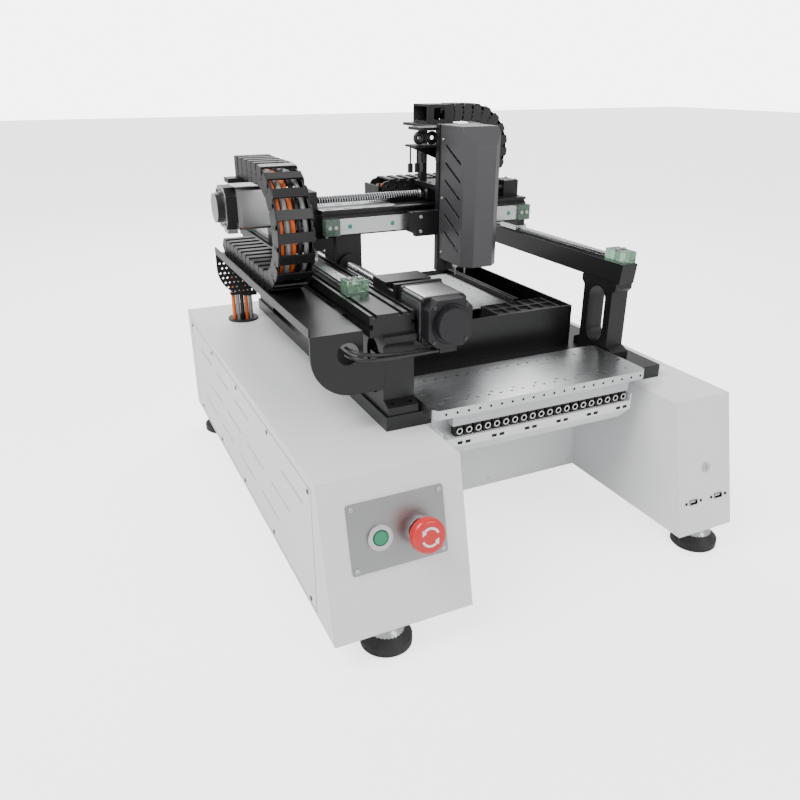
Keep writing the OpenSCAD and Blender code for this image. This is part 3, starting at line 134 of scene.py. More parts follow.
M = {
    "white_paint": material("white_paint", (0.86, 0.87, 0.88), 0.42, 0,
        (40, 40, 40), 0.01, 0.03, 0.04, 0.0012),
    "black_anodised": material("black_anodised", (0.010, 0.010, 0.011), 0.34, 0.2,
        (80, 80, 80), 0.12, 0.04, 0.06),
    "head_grey": material("head_grey", (0.085, 0.085, 0.09), 0.38, 0.35,
        (90, 90, 90), 0.08, 0.05, 0.05, 0.0012),
    "plate_alu": material("plate_alu", (0.60, 0.61, 0.62), 0.3, 1, (2, 160, 60), 0.12, 0.06, 0.1),
    "rail_steel": material("rail_steel", (0.62, 0.63, 0.64), 0.24, 1, (60, 60, 60), 0.06, 0.02),
    "screw_steel": material("screw_steel", (0.56, 0.57, 0.58), 0.2, 1,
        (60, 60, 60), 0.06, 0.02, 0.06, 0.0002),
    "motor_black": material("motor_black", (0.012, 0.012, 0.014), 0.4, 0.2, (80, 80, 80), 0.15, 0.06),
    "motor_silver": material("motor_silver", (0.60, 0.60, 0.61), 0.32, 1, (120, 120, 6), 0.08, 0.04),
    "black_plastic": material("black_plastic",
        (0.009, 0.009, 0.010), 0.5, 0, (120, 120, 120), 0.15, 0.08),
    "chain_plastic": material("chain_plastic",
        (0.012, 0.012, 0.013), 0.36, 0, (100, 100, 100), 0.15, 0.06),
    "clear_green": material("clear_green", (0.50, 0.78, 0.58), 0.1, 0,
        (20, 20, 20), 0.12, 0.02, 0.05, 0.001, 0.3, 0.8),
    "foot_rubber": material("foot_rubber", (0.013, 0.013, 0.014), 0.55, 0, (90, 90, 90), 0.15, 0.08),
    "zinc_steel": material("zinc_steel", (0.62, 0.62, 0.63), 0.3, 1,
        (60, 60, 60), 0.08, 0.03, 0.08, 0.0003),
    "button_green": material("button_green", (0.01, 0.26, 0.12), 0.3, 0,
        (40, 40, 40), 0.06, 0.02, 0.05, 0.0008, 0.4),
    "estop_red": material("estop_red", (0.66, 0.012, 0.016), 0.3, 0,
        (40, 40, 40), 0.05, 0.02, 0.05, 0.0008, 0.4),
    "cable_orange": material("cable_orange", (0.80, 0.16, 0.03), 0.45, 0, (80, 80, 80), 0.1, 0.05),
    "cable_grey": material("cable_grey", (0.34, 0.35, 0.36), 0.5, 0, (80, 80, 80), 0.1, 0.05),
    "hose_black": material("hose_black", (0.014, 0.014, 0.015), 0.38, 0, (80, 80, 80), 0.1, 0.05),
    "light_grey": material("light_grey", (0.56, 0.57, 0.58), 0.4, 0.3, (60, 60, 60), 0.05, 0.03),
    "board_green": material("board_green", (0.012, 0.14, 0.06), 0.45, 0, (90, 90, 90), 0.2, 0.05),
    "psu_metal": material("psu_metal", (0.60, 0.61, 0.62), 0.35, 1, (60, 60, 60), 0.08, 0.04),
    "brass_gear": material("brass_gear", (0.68, 0.48, 0.20), 0.3, 1, (60, 60, 60), 0.08, 0.03),
    "white_mark": material("white_mark", (0.85, 0.85, 0.85), 0.4, 0, (60, 60, 60), 0.02, 0.02),
    "cap_green": material("cap_green", (0.05, 0.34, 0.22), 0.35, 0,
        (60, 60, 60), 0.08, 0.03, 0.05, 0.0004),
    "plate_grey": material("plate_grey", (0.36, 0.365, 0.37), 0.42, 1, (3, 140, 60), 0.1, 0.05, 0.08),
    "dark_zinc": material("dark_zinc", (0.10, 0.10, 0.105), 0.35, 0.8, (60, 60, 60), 0.1, 0.04),
    # dark metal laid on thread grooves: painted shade in the grooves
    "groove": material("groove", (0.03, 0.03, 0.032), 0.4, 1, (60, 60, 60), 0.1, 0.03, 0.05, 0.0001),
    # near-black material for thin decals in holes, slots and seams: painted shade of the openings
    "painted_gap_shade": material("painted_gap_shade", (0.006, 0.006, 0.006), 0.8, 0, (60, 60, 60), 0.1, 0.03),
}
# scene materials that have no slot of their own in the record
NODE_LOOK = {"control_plate": "plate_grey", "housing_screws": "dark_zinc"}


def slot_of(value, found):
    if isinstance(value, dict):
        if "node" in value and "material_slot" in value:
            found[value["node"]] = value["material_slot"]
        for v in value.values():
            slot_of(v, found)
    elif isinstance(value, list):
        for v in value:
            slot_of(v, found)
    return found


slots = slot_of(frame["record"], {})
for name, o in frame["nodes"].items():
    for s in o.material_slots:
        s.material = M[NODE_LOOK.get(name, slots.get(name, "black_anodised"))]


# ---------- mesh helper, in mm of the part's own frame ----------
class Piece:
    def __init__(self, name, mat, body="root", at=None):
        self.name, self.mat, self.body = name, mat, body
        self.v, self.f, self.at, self.grooves = [], [], at or Matrix.Identity(4), []

    def add(self, verts, faces, at=None):
        k = len(self.v)
        m = self.at @ (at or Matrix.Identity(4))
        self.v += [m @ Vector(p) for p in verts]
        self.f += [[i + k for i in f] for f in faces]
        return self

    def prism(self, outline, z0, z1, at=None, bev=0.0):
        """Closed outline of (x, y) drawn out along z, with a small chamfer at both ends."""
        n = len(outline)
        cx = sum(p[0] for p in outline) / n
        cy = sum(p[1] for p in outline) / n
        big = max(math.hypot(p[0] - cx, p[1] - cy) for p in outline)
        k = 1 - bev / big
        inner = [(cx + (p[0] - cx) * k, cy + (p[1] - cy) * k) for p in outline]
        rings = [(outline, z0), (outline, z1)]
        if bev:
            rings = [(inner, z0), (outline, z0 + bev), (outline, z1 - bev), (inner, z1)]
        v = [(x, y, z) for ring, z in rings for x, y in ring]
        f = [list(range(n))[::-1], [(len(rings) - 1) * n + i for i in range(n)]]
        return self.add(v, f + quads(n, len(rings)), at)

    def box(self, a, b, bev=0.4, at=None):
        return self.prism([(a[0], a[1]), (b[0], a[1]), (b[0], b[1]), (a[0], b[1])], a[2], b[2], at, bev)

    def cyl(self, p0, p1, r, r1=None, n=32, bev=0.3, hole=0.0):
        """Round bar from p0 to p1; r1 its far radius; hole leaves a bore."""
        p0, p1 = Vector(p0), Vector(p1)
        d = p1 - p0
        q = Matrix.Translation(p0) @ d.to_track_quat("Z", "Y").to_matrix().to_4x4()
        r1, h = (r if r1 is None else r1), d.length
        prof = [(r - bev, 0), (r, bev), (r1, h - bev), (r1 - bev, h)]
        prof = ([(hole, 0)] + prof + [(hole, h)]) if hole else ([(0, 0)] + prof + [(0, h)])
        return self.lathe(prof, q, n, closed=bool(hole))

    def lathe(self, prof, at=None, n=32, closed=False):
        """Profile of (radius, z) turned about z; closed joins its last point to its first."""
        v, f, rows = [], [], []
        ring = [2 * math.pi * i / n for i in range(n)]
        for r, z in prof:
            if r <= 1e-6:
                rows.append([len(v)])
                v.append((0, 0, z))
            else:
                rows.append(list(range(len(v), len(v) + n)))
                v += [(r * math.cos(a), r * math.sin(a), z) for a in ring]
        pairs = list(zip(rows, rows[1:])) + ([(rows[-1], rows[0])] if closed else [])
        for a, b in pairs:
            for i in range(n):
                j = (i + 1) % n
                if len(a) == 1 and len(b) == 1:
                    continue
                if len(a) == 1:
                    f.append([a[0], b[j], b[i]])
                elif len(b) == 1:
                    f.append([a[i], a[j], b[0]])
                else:
                    f.append([a[i], a[j], b[j], b[i]])
        return self.add(v, f, at)

    def tube(self, pts, r, n=12, at=None):
        """Round tube along points, without twist."""
        pts = [Vector(p) for p in pts]
        v, side = [], None
        ring = [2 * math.pi * k / n for k in range(n)]
        for i, p in enumerate(pts):
            d = (pts[min(i + 1, len(pts) - 1)] - pts[max(i - 1, 0)]).normalized()
            if side is None:
                other = Vector((0.13, 0.21, 0.97)) if abs(d.z) < 0.9 else Vector((1, 0, 0))
                side = d.cross(other).normalized()
            side = (side - d * side.dot(d)).normalized()
            up = d.cross(side)
            v += [p + r * (math.cos(a) * side + math.sin(a) * up) for a in ring]
        ends = [list(range(n))[::-1], [(len(pts) - 1) * n + k for k in range(n)]]
        return self.add(v, quads(n, len(pts)) + ends, at)

    def screw(self, p, d, r=3.0, h=2.0):
        """Socket head: a low cylinder with a round recess."""
        p, d = Vector(p), Vector(d).normalized()
        q = Matrix.Translation(p) @ d.to_track_quat("Z", "Y").to_matrix().to_4x4()
        prof = [(0, 0), (r - 0.01, 0), (r, h - 0.35), (r - 0.35, h),
                (r * 0.52, h), (r * 0.5, h * 0.45), (0, h * 0.4)]
        return self.lathe(prof, q, 20)

    def make(self, ride=True):
        me = bpy.data.meshes.new(self.name)
        me.from_pydata([W(*p) for p in self.v], [], self.f)
        me.validate()
        me.materials.append(M[self.mat])
        # faces listed in grooves take the painted shade material
        if self.grooves:
            me.materials.append(M["groove"])
            for j in self.grooves:
                me.polygons[j].material_index = 1
        o = bpy.data.objects.new(self.name, me)
        bpy.context.scene.collection.objects.link(o)
        me.shade_smooth()
        me.set_sharp_from_angle(angle=math.radians(32))
        if ride:
            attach(o, self.body)
        return o


def on_slope(x, z):
    y = -(TOP - z) * RUN / RISE
    return move(x, y, z) @ turn(90 - TILT, "X")


def on_plate(at):
    return on_slope(PLATE_X, PLATE_Z) @ move(at[0], at[1], 0)


# ---------- drag chains ----------
def chain(name, node, T, h, r, w, lo_run, up_run, pitch):
    """Links and cables of a drag chain, built in its own frame T and left fixed in the scene.

    In its own frame T the loop bulges to +x and both runs go to -x; h is the link height, r the outer radius,
    w the width. The links and cables are split into lower run, loop and upper run, but all of them stay fixed
    where they are built.
    """
    rm = r - h / 2
    arc = math.pi * rm
    total = lo_run + arc + up_run
    n = round(total / pitch)
    step = total / n

    def at(s):  # place and direction at length s along the chain
        if s < lo_run:
            return -lo_run + s, -rm, 0.0
        if s < lo_run + arc:
            t = (s - lo_run) / rm
            return rm * math.sin(t), -rm * math.cos(t), t
        return -(s - lo_run - arc), rm, math.pi

    parts = {}

    def part(kind, s, mat):
        zone = "lower" if s < lo_run - 0.01 else "loop" if s <= lo_run + arc + 0.01 else "upper"
        key = f"{name}_{kind}_{zone}"
        if key not in parts:
            parts[key] = (Piece(key, mat, at=T), zone)
        return parts[key][0]

    er = h / 2 - 3.2  # end radius of the inner plates
    arcs = [(math.sin(k * math.pi / 8), math.cos(k * math.pi / 8)) for k in range(9)]
    for i in range(n):
        s = (i + 0.5) * step
        x, z, t = at(s)
        L = move(x, 0, z) @ Matrix.Rotation(-t, 4, "Y")
        p = part("links", s, "chain_plastic")
        half = step / 2
        outline = [(half + er * u, -er * c) for u, c in arcs]
        outline += [(-half - er * u, er * c) for u, c in arcs]
        # inner plate with round ends, and an outer cheek that stops short of its neighbours
        e, hz = half - 1.1, h / 2 - 0.5
        cheek = [(-e, -hz + 3), (-e + 3, -hz), (e - 3, -hz), (e, -hz + 3), (e - 1.6, 0),
                 (e, hz - 3), (e - 3, hz), (-e + 3, hz), (-e, hz - 3), (-e - 1.6, 0)]
        upright = turn(90, "X")
        for y0 in (1.6, w - 4.3):
            p.prism(outline, 0, 2.7, L @ move(0, y0 + 2.7, 0) @ upright, 0.4)
        for y0 in (0.3, w - 2.2):
            p.prism(cheek, 0, 1.9, L @ move(0, y0 + 1.9, 0) @ upright, 0.5)
        for y0, y1 in ((0.05, 3), (w - 3, w - 0.05)):
            t1 = y1 - y0
            boss = [(2.2, 0), (4.6, 0), (4.9, 0.4), (4.9, t1 - 0.4), (4.6, t1), (2.2, t1)]
            p.lathe(boss, L @ move(-half, y0, 0) @ turn(-90, "X"), 20, True)
        bar = step * 0.27
        for z0, z1 in ((h / 2 - 3.0, h / 2 - 0.3), (-h / 2 + 0.3, -h / 2 + 3.0)):
            p.box((-bar, 1.5, z0), (bar, w - 1.5, z1), 0.7, L)
        # snap ends of the bars
        for y0 in (3.5, w - 9.5):
            p.box((-bar * 0.6, y0, h / 2 - 4.2), (bar * 0.6, y0 + 6, h / 2 - 0.1), 0.5, L)
    cols = ["cable_orange", "cable_grey", "cable_orange", "hose_black", "cable_grey"]
    cr = min(3.3, h / 2 - 5.5)
    for c, col in enumerate(cols):
        y = w * (0.17 + 0.165 * c)
        off = 1.2 * math.sin(c * 2.1)
        for zone, s0, s1 in (("lower", 0, lo_run), ("loop", lo_run, lo_run + arc),
                             ("upper", lo_run + arc, total)):
            m = max(4, int((s1 - s0) / 6))
            pts = []
            for k in range(m + 1):
                x, z, t = at(s0 + (s1 - s0) * k / m)
                if zone == "upper":
                    x, z, t = -(s1 - s0) * k / m, rm, math.pi
                nx, nz = math.sin(t), -math.cos(t)
                pts.append((x + nx * off, y, z + nz * off))
            key = f"{name}_{col}_{zone}"
            if key not in parts:
                parts[key] = (Piece(key, col, at=T), zone)
            parts[key][0].tube(pts, cr, 12)
    first = None
    for key, (p, zone) in parts.items():
        o = p.make(False)
        if zone == "lower":
            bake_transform(o)
        elif zone == "upper":
            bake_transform(o)
        else:
            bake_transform(o)
        first = first or o
    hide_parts(node)


TY = move(-246, 308, TRAY_TOP + GAP + 80) @ turn(-90, "Z")
chain("y_chain", "y_drag_chain", TY, 27, 80, 48, 232, 93, 23)
TX = move(142.5, 444, BEAM_TOP + 4 + 67)
chain("x_chain", "x_drag_chain", TX, 27, 67, 50, 147.5, 35, 17)


# ---------- threaded screws ----------
def thread(name, body, mat, T, length, r, lead, n=24):
    """Screw along local +z: a cylinder whose radius follows the thread; its groove faces get a dark material
    as painted shade.
    """
    p = Piece(name, mat, body, at=T)
    rows = int(length / lead * 6)
    v = []
    for k in range(rows + 1):
        z = length * k / rows
        for i in range(n):
            t = (z / lead - i / n) % 1.0
            g = min(1.0, max(0.0, 1.9 * (1 - abs(2 * t - 1)) - 0.35))
            end = min(1.0, z / lead, (length - z) / lead)
            q = r - 1.5 * (1 - g) * max(0.0, end) - 0.02
            a = 2 * math.pi * i / n
            v.append((q * math.cos(a), q * math.sin(a), z))
    sides = quads(n, rows + 1)
    # faces deep in the grooves get the painted shade material
    p.grooves = [j for j, q in enumerate(sides) if sum(math.hypot(*v[i][:2]) for i in q) / 4 < r - 0.75]
    return p.add(v, sides + [list(range(n))[::-1], [rows * n + i for i in range(n)]])


# Y screw: shaft stub, coupling with clamp slots and screws, threaded length, plain ends
TYS = move(Y_SCREW_X, 139, Y_SCREW_Z) @ turn(-90, "X")
p = thread("y_screw_thread", "y_screw", "screw_steel", TYS @ move(0, 0, 80), 414, 7, 5)
p.cyl((0, 0, -80 + 32), (0, 0, 0.5), 6.98, n=24, bev=0.2)
p.cyl((0, 0, 413.5), (0, 0, 430), 6.98, n=24, bev=0.2)
p.cyl((0, 0, -80), (0, 0, -80 + 28), 3.98, n=20, bev=0.2)
p.cyl((0, 0, 436 - 3), (0, 0, 438), 6.9, 6.2, 24)
oy = p.make()
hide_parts("y_screw")
p = Piece("y_coupling", "motor_silver", "y_screw", at=TYS)
p.lathe([(4.1, 20.2), (11, 20.2), (11.5, 20.7), (11.5, 27.5), (10.4, 27.6), (10.4, 28.4), (11.5, 28.5),
         (11.5, 31),
         (10.4, 31.1), (10.4, 31.9), (11.5, 32), (11.5, 38.9), (11, 39.4), (7.1, 39.4)], None, 40, True)
p.make()
p = Piece("y_coupling_screws", "black_plastic", "y_screw", at=TYS)
for z in (24, 35.5):
    p.screw((0, -10.2, z), (0, -1, 0), 2.0, 1.2)
p.make()

TXS = move(-209, X_AXIS_Y, X_AXIS_Z) @ turn(90, "Y")
p = thread("x_screw_thread", "x_screw", "screw_steel", TXS @ move(0, 0, 74), 314, 6, 4)
p.cyl((0, 0, -74 + 46), (0, 0, 0.5), 5.98, n=24, bev=0.2)
p.cyl((0, 0, 313.5), (0, 0, 339), 5.98, n=24, bev=0.2)
p.cyl((0, 0, -74), (0, 0, -74 + 40), 3.98, n=20, bev=0.2)
ox = p.make()
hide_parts("x_screw")
p = Piece("x_coupling", "motor_silver", "x_screw", at=TXS)
x0 = -187 + 209
x1 = -165 + 209
p.lathe([(4.1, x0), (11, x0), (11.5, x0 + 0.5), (11.5, x0 + 8), (10.4, x0 + 8.2), (10.4, x0 + 9),
         (11.5, x0 + 9.2), (11.5, x1 - 9), (10.4, x1 - 8.8), (10.4, x1 - 8), (11.5, x1 - 7.8),
         (11.5, x1 - 0.5), (11, x1), (6.1, x1)],
        None, 40, True)
p.make()


# ---------- motors ----------
def rounded_square(w, r, n):
    pts, k = [], w / 2
    for cx, cy, a0 in ((k - r, k - r, 0), (-k + r, k - r, 90), (-k + r, -k + r, 180), (k - r, -k + r, 270)):
        for i in range(n + 1):
            a = math.radians(a0 + 90 * i / n)
            pts.append((cx + r * math.cos(a), cy + r * math.sin(a)))
    return pts


def motor_dress(tag, T, length, body):
    p = Piece(tag + "_case", "motor_silver", body, at=T)
    v = []
    out = rounded_square(57.5, 7, 5)
    for z, k in ((-length + 31, 0.985), (-length + 31, 1), (-8, 1), (-8, 0.985)):
        v += [(x * k, y * k, z) for x, y in out]
    p.add(v, quads(len(out), 4)).make()
    p = Piece(tag + "_cap", "motor_black", body, at=T)
    z = -length
    p.lathe([(0, z + 0.05), (15, z + 0.05), (16.5, z + 0.8), (18.2, z + 0.8), (19.2, z + 0.1),
             (20.1, z + 0.9), (20.3, z + 3), (20.3, z + 10.4), (0, z + 10.5)], None, 48)
    p.lathe([(22, z + 10.2), (24.5, z + 9.6), (25, z + 10.2), (25, z + 12), (22, z + 12)], None, 48, True)
    p.make()
    p = Piece(tag + "_ends", "motor_black", body, at=T)
    k, c = 28.2, 17.2
    block = [(k, -c), (k, c), (c, k), (-c, k), (-k, c), (-k, -c), (-c, -k), (c, -k)]
    p.prism(block, z + 10.2, z + 28.2, None, 0.8)
    p.prism(rounded_square(57.6, 4, 5), -7.4, -0.2, None, 0.5)
    p.make()
    p = Piece(tag + "_screws", "dark_zinc", body, at=T)
    for sx in (-1, 1):
        for sy in (-1, 1):
            p.screw((sx * 20.5, sy * 20.5, z + 10.3), (0, 0, -1), 2.3, 1.6)
            p.cyl((sx * 23.6, sy * 23.6, -7.6), (sx * 23.6, sy * 23.6, -0.3), 2.2, n=16)
    p.make()
    p = Piece(tag + "_plug", "black_plastic", body, at=T)
    p.box((-10, -28.5 - 7.2, z + 15), (10, -28, z + 27), 0.8)
    p.make()


motor_dress("y_motor", move(Y_SCREW_X, 151, Y_SCREW_Z) @ turn(180, "Y") @ turn(-90, "X"), 89, "root")
motor_dress("x_motor", move(-197, X_AXIS_Y, X_AXIS_Z) @ turn(90, "Z") @ turn(90, "X"), 81, "gantry")


# ---------- cable bundle and motor leads ----------
def cubic(c, n):
    """Points of a smooth curve through the four control points of a cubic."""
    out = []
    for i in range(n + 1):
        t = i / n
        share = ((1 - t) ** 3, 3 * (1 - t) ** 2 * t, 3 * (1 - t) * t * t, t ** 3)
        out.append(sum((Vector(q) * k for q, k in zip(c, share)), Vector()))
    return out


loom_z, bend = TRAY_TOP + GAP + 13.5, 26
loom_pitch = (HOLE_R - 3 - LOOM_R - GAP) / 2
loom = {c: Piece("loom_" + c, c) for c in ("cable_orange", "cable_grey", "hose_black")}
for i, col in zip(range(-2, 3), ("cable_orange", "cable_grey", "hose_black", "cable_orange", "cable_grey")):
    x = HOLE_X + i * loom_pitch
    pts = [(x, HOLE_Y, 210.3), (x, HOLE_Y, 260), (x, HOLE_Y, loom_z - bend)]
    for a in range(10, 91, 10):
        u, c = math.sin(math.radians(a)), math.cos(math.radians(a))
        pts.append((x, HOLE_Y - bend + bend * c, loom_z - bend + bend * u))
    pts += [(x, 560, loom_z), (x, 542.2, loom_z)]
    loom[col].tube(pts, LOOM_R - 0.02, 14)
end = Vector((Y_SCREW_X - 11 - GAP, 79, Y_SCREW_Z - 28.5 - 4.5))  # the motor's plug
for k in (0, 1):
    c = [(-212, 102, TRAY_TOP - 28 + k * 7.5), (-210, 58, TRAY_TOP - 28 + k * 7.5),
         end + Vector((-50, k * 7.5, 0)), end + Vector((0, k * 7.5, 0))]
    loom["hose_black"].tube(cubic(c, 24), 2.2, 12)
made = [q.make() for q in loom.values()]
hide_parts("cable_loom")
p = Piece("loom_ties", "black_plastic")
for z in (262, 300):
    outline = [(HOLE_X + sx * 18.6, HOLE_Y + sy * 4.4) for sx, sy in ((-1, -1), (1, -1), (1, 1), (-1, 1))]
    p.prism(outline, z, z + 4, None, 0.5)
p.make()

# ---------- controls ----------
HEAD_TOP, SWEEP = 30, 112  # top of the stop's head above the plate, and each arrow's arc
p = Piece("estop_arrows", "white_mark", "estop_head", at=on_plate(ESTOP_AT) @ move(0, 0, HEAD_TOP + 0.03))
for a0 in (20, 200):
    v, m = [], 14
    for i in range(m + 1):
        a = math.radians(a0 + SWEEP * i / m)
        for rr in (8.6, 11.2):
            v.append((rr * math.cos(a), rr * math.sin(a), 0))
    f = [[2 * i, 2 * i + 1, 2 * i + 3, 2 * i + 2] for i in range(m)]
    p.add(v, f)
    corners = ((6.6, a0 + SWEEP), (13.2, a0 + SWEEP), (9.9, a0 + SWEEP + 34))
    tip = [(rr * math.cos(math.radians(a)), rr * math.sin(math.radians(a)), 0) for rr, a in corners]
    p.add(tip, [[0, 1, 2]])
p.make()
p = Piece("plate_screws", "zinc_steel")
for sx in (-1, 1):
    for sy in (-1, 1):
        q = on_plate((sx * 52, sy * 34.5))
        p.screw(q @ Vector((0, 0, 1.5)), q.to_3x3() @ Vector((0, 0, 1)), 2.7, 1.3)
p.make()
p = Piece("start_bezel", "light_grey", at=on_plate(START_AT))
p.lathe([(11.2, 1.6), (14.4, 1.6), (14.4, 3.6), (13.3, 4.6), (11.6, 4.6), (9.4, 3.9), (9.4, 1.6)],
        None, 40, True)
p.make()
p = Piece("start_ring", "black_plastic", "start_button", at=on_plate(START_AT))
p.lathe([(7.9, 4.95), (8.7, 4.95), (8.7, 5.1), (7.9, 5.1)], None, 36, True)
p.make()
p = Piece("estop_ribs", "estop_red", "estop_head", at=on_plate(ESTOP_AT))
for i in range(24):
    q = turn(15 * i, "Z")
    p.box((19.5, -1, 19.5), (20.25, 1, 24.8), 0.2, q)
p.make()
p = Piece("usb_tongues", "white_mark")
for s in (-1, 1):
    q = on_slope(USB_X + s * USB_DX, USB_Z)
    p.box((-4.6, -0.9, -10), (4.6, 0.9, -1.2), 0.2, q)
p.make()
p = Piece("usb_rims", "screw_steel")
for s in (-1, 1):
    q = on_slope(USB_X + s * USB_DX, USB_Z)
    for a, b in (((-6.7, 2.9, 0.6), (6.7, 3.5, 1.0)), ((-6.7, -3.5, 0.6), (6.7, -2.9, 1.0)),
                 ((-6.7, -3.5, 0.6), (-6.1, 3.5, 1.0)), ((6.1, -3.5, 0.6), (6.7, 3.5, 1.0))):
        p.box(a, b, 0.1, q)
p.make()

# ---------- feet ----------
p = Piece("foot_cones", "rail_steel")
for x, y in ((-216, -12), (258, -12), (-258, 640), (258, 640)):
    cone = [(29.2, 12.2), (27.5, 12.9), (15.6, 26.2), (15, 26.7), (7.4, 26.7)]
    p.lathe(cone, move(x, y, 0), 48)
p.make()

# ---------- feeder plate and connectors ----------
# dark discs where the plate edge has holes: painted shade inside the holes
p = Piece("edge_holes", "painted_gap_shade")
for i in range(20):
    x = -110 + i * 15.2
    p.cyl((x, 50.2, 242), (x, 49.96, 242), 1.7, n=16, bev=0.02)
p.make()
p = Piece("connector_rings", "white_mark")
pitch = (265 - 17) / 19
for i in range(20):
    x = -95 + 8.5 + i * pitch
    ring = [(2.9, 0), (4.1, 0), (4.1, 0.5), (2.9, 0.5)]
    p.lathe(ring, move(x, 58.05, 212.5) @ turn(90, "X"), 24, True)
p.make()
# dark strips for the channel slots: painted shade inside the slots
p = Piece("channel_slots", "painted_gap_shade")
for i in range(6):
    for d in (0, 11):
        x = -90 + i * 48 + d
        p.box((x, 55.9, 196), (x + 7, 56.05, 200), 0.02)
p.make()

# ---------- rails, stops and fixings ----------
p = Piece("y_rail_caps", "cap_green")
for i in range(7):
    p.cyl((-164, 236 + i * 60, 364), (-164, 236 + i * 60, 366.55), 3.6, n=24)
p.make()
p = Piece("x_rail_caps", "cap_green", "gantry")
for i in range(5):
    x = -114 + 16 + i * (300 - 32) / 4
    p.cyl((x, 373, 403.5), (x, 369.9, 403.5), 3.6, n=24)
p.make()
p = Piece("y_stop_screws", "zinc_steel")
q = Piece("y_stop_washers", "black_plastic")
for x, w, yc, top in ((-163, 28, 193.5, 375), (-163, 28, 656.5, 375),
                      (207.5, 21, 147, 386), (207.5, 21, 656.5, 386)):
    for s in (-1, 1):
        xx = x + s * w * 0.25
        q.cyl((xx, yc, top - 0.4), (xx, yc, top + 0.3), 3.9, n=24, bev=0.1)
        p.screw((xx, yc, top + 0.3), (0, 0, 1), 2.9, 2.0)
p.make()
q.make()
p = Piece("x_stop_screws", "zinc_steel", "gantry")
for x in (-136, 186):
    for s in (6.5, 15.5):
        p.screw((x + s, 367.1, 403.5), (0, -1, 0), 2.8, 1.6)
p.make()
p = Piece("root_bolts", "motor_black")
for x in (-159, -135):
    for y in (91.5, 636):
        p.screw((x, y, 244), (0, 0, 1), 3.4, 2.6)
for y in (130, 204, 564, 638):
    for x in (201, 213):
        p.screw((x, y, 246), (0, 0, 1), 2.6, 2.2)
for x in (-161, 234):
    for y in (183, 360, 555):
        p.screw((x, y, 233), (0, 0, 1), 3.2, 2.9)
for x in (-70, -122):
    for z in (318, 366):
        p.screw((x, 151, z), (0, -1, 0), 2.4, 2.0)
p.make()
p = Piece("gantry_bolts", "zinc_steel", "gantry")
for x in (-190, -176, -150, -132):
    for y in (376, 446):
        if not (x > -180 and y == 446):
            p.screw((x, y, 388.9), (0, 0, 1), 2.6, 2.0)
for x in (184, 205):
    for y in (409, 437):
        p.screw((x, y, 448.4), (0, 0, 1), 2.4, 1.8)
p.make()
p = Piece("head_bolts", "zinc_steel", "head")
for x in (2.5, 120.5):
    for z in (393, 414):
        p.screw((x, 344.6, z), (0, -1, 0), 2.7, 1.6)
for y in (402, 436):
    for x in (46, 78):
        p.screw((x, y, 453.4), (0, 0, 1), 2.5, 1.9)
p.make()
p = Piece("cover_screws", "zinc_steel", "head")
for z in (362, 440, 520):
    for x, d in ((32.6, -1), (89.4, 1)):
        p.screw((x, 336, z), (d, 0, 0), 2.1, 0.9)
p.make()
p = Piece("x_nut_flange", "rail_steel", "head")
p.lathe([(6.1, 0), (7.4, 0), (7.8, 0.5), (7.8, 5.5), (7.4, 6), (6.1, 6)],
        move(37.5, X_AXIS_Y, X_AXIS_Z) @ turn(90, "Y"), 40, True)
p.make()
p = Piece("chain_box_screws", "zinc_steel", "head")
for x in (68, 102):
    for y in (450, 488):
        p.screw((x, y, 561.9), (0, 0, 1), 2.0, 0.15)
p.make()

p = Piece("beam_top_plate", "plate_alu", "gantry")
outline = [(-135.8, 382.2), (-26.1, 382.2), (-16.2, 392.1), (-16.2, 429.9), (-26.1, 439.8), (-135.8, 439.8)]
p.prism(outline, BEAM_TOP + 0.9, BEAM_TOP + 1.2, None, 0.05)
p.make()
# dark slot shapes on the beam plate: painted shade inside the slots
p = Piece("beam_plate_slots", "painted_gap_shade", "gantry")
for i in range(4):
    for y in (389, 428):
        x = -128 + i * 28
        o = [(x + 10 + 2 * math.sin(k * math.pi / 6), y - 2 * math.cos(k * math.pi / 6)) for k in range(7)]
        o += [(x + 2 - 2 * math.sin(k * math.pi / 6), y + 2 * math.cos(k * math.pi / 6)) for k in range(7)]
        p.prism(o, 426.15, 426.3, None, 0.02)
p.make()
# painted shade of the side panels: dark strips along the panel seams, and dark sheets behind the vents for
# the dark inside of the housings
p = Piece("panel_seams", "painted_gap_shade")
for x0, x1 in ((-289.06, -288.9), (288.9, 289.06)):
    for a, b in (((15, 45), (665, 45.9)), ((15, 204.1), (665, 205)),
                 ((15, 45), (15.9, 205)), ((664.1, 45), (665, 205))):
        p.box((x0, a[0], a[1]), (x1, b[0], b[1]), 0.01)
p.make()
# black sheets just inside the vents: painted shade, standing in for the dark inside of the housings
p = Piece("vent_shade_sheets", "black_plastic")
p.box((-286.9, 28, 58), (-286.3, 652, 192), 0.1)
p.box((286.3, 28, 58), (286.9, 652, 192), 0.1)
p.make()

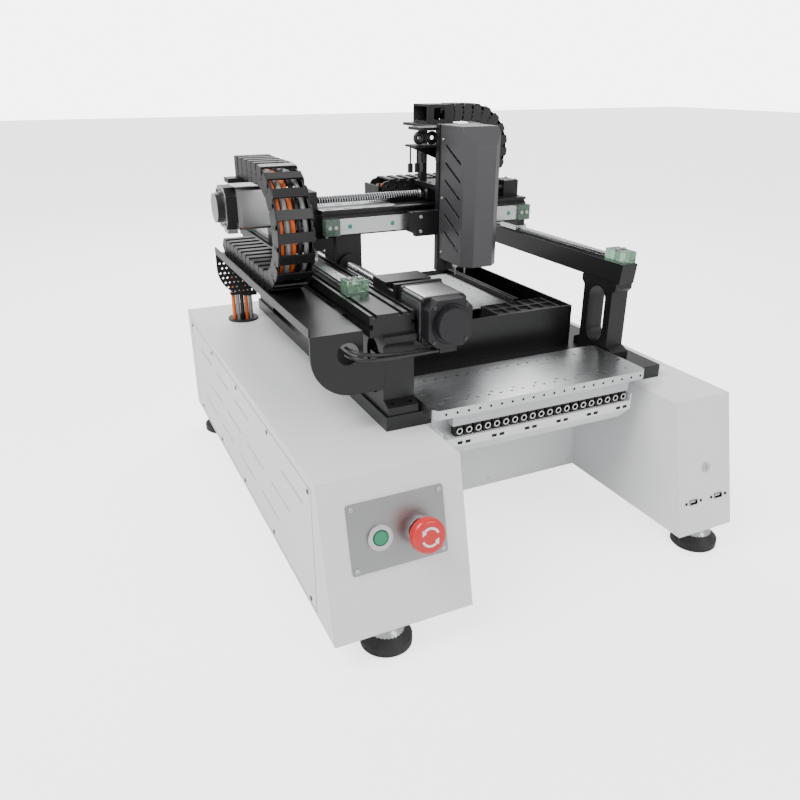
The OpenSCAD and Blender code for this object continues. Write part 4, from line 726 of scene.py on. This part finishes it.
# ---------- studio ----------
floor_mesh = bpy.data.meshes.new("floor")
floor_mesh.from_pydata([(-12, -12, 0), (12, -12, 0), (12, 12, 0), (-12, 12, 0)], [], [[0, 1, 2, 3]])
floor = bpy.data.objects.new("floor", floor_mesh)
floor_mesh.materials.append(material("floor", (0.93, 0.93, 0.93), 0.6, 0, (1, 1, 1), 0.01, 0.0, 0.03, 0.0001))
bpy.context.scene.collection.objects.link(floor)
floor.location.z = -0.0004
world = bpy.data.worlds.new("world")
bpy.context.scene.world = world
world.use_nodes = True
wt = world.node_tree
back = wt.nodes["Background"]
back.inputs[0].default_value = (1, 1, 1, 1)
path, seen = wt.nodes.new("ShaderNodeLightPath"), wt.nodes.new("ShaderNodeMapRange")
seen.inputs["To Min"].default_value = 0.75
seen.inputs["To Max"].default_value = 6.0
wt.links.new(path.outputs["Is Camera Ray"], seen.inputs["Value"])
wt.links.new(seen.outputs["Result"], back.inputs[1])
ft = floor_mesh.materials[0].node_tree
fp, fr = ft.nodes.new("ShaderNodeLightPath"), ft.nodes.new("ShaderNodeMapRange")
fr.inputs["To Max"].default_value = 2.2
ft.links.new(fp.outputs["Is Camera Ray"], fr.inputs["Value"])
fb = next(q for q in ft.nodes if q.type == "BSDF_PRINCIPLED")
fb.inputs["Emission Color"].default_value = (1, 1, 1, 1)
ft.links.new(fr.outputs["Result"], fb.inputs["Emission Strength"])


def lamp(name, loc, aim, size, power):
    d = bpy.data.lights.new(name, "AREA")
    d.shape = "RECTANGLE"
    d.size, d.size_y = size
    d.energy = power
    o = bpy.data.objects.new(name, d)
    o.location = loc
    o.rotation_euler = (Vector(aim) - Vector(loc)).to_track_quat("-Z", "Y").to_euler()
    bpy.context.scene.collection.objects.link(o)


lamp("key", (-1.5, -0.3, 2.3), (0, 0, 0.2), (1.5, 1.2), 62)
lamp("fill", (0.9, -2.0, 1.3), (0, 0, 0.25), (1.2, 1.2), 16)
lamp("rim", (0.6, 1.8, 1.7), (0, 0, 0.35), (1.8, 0.8), 34)
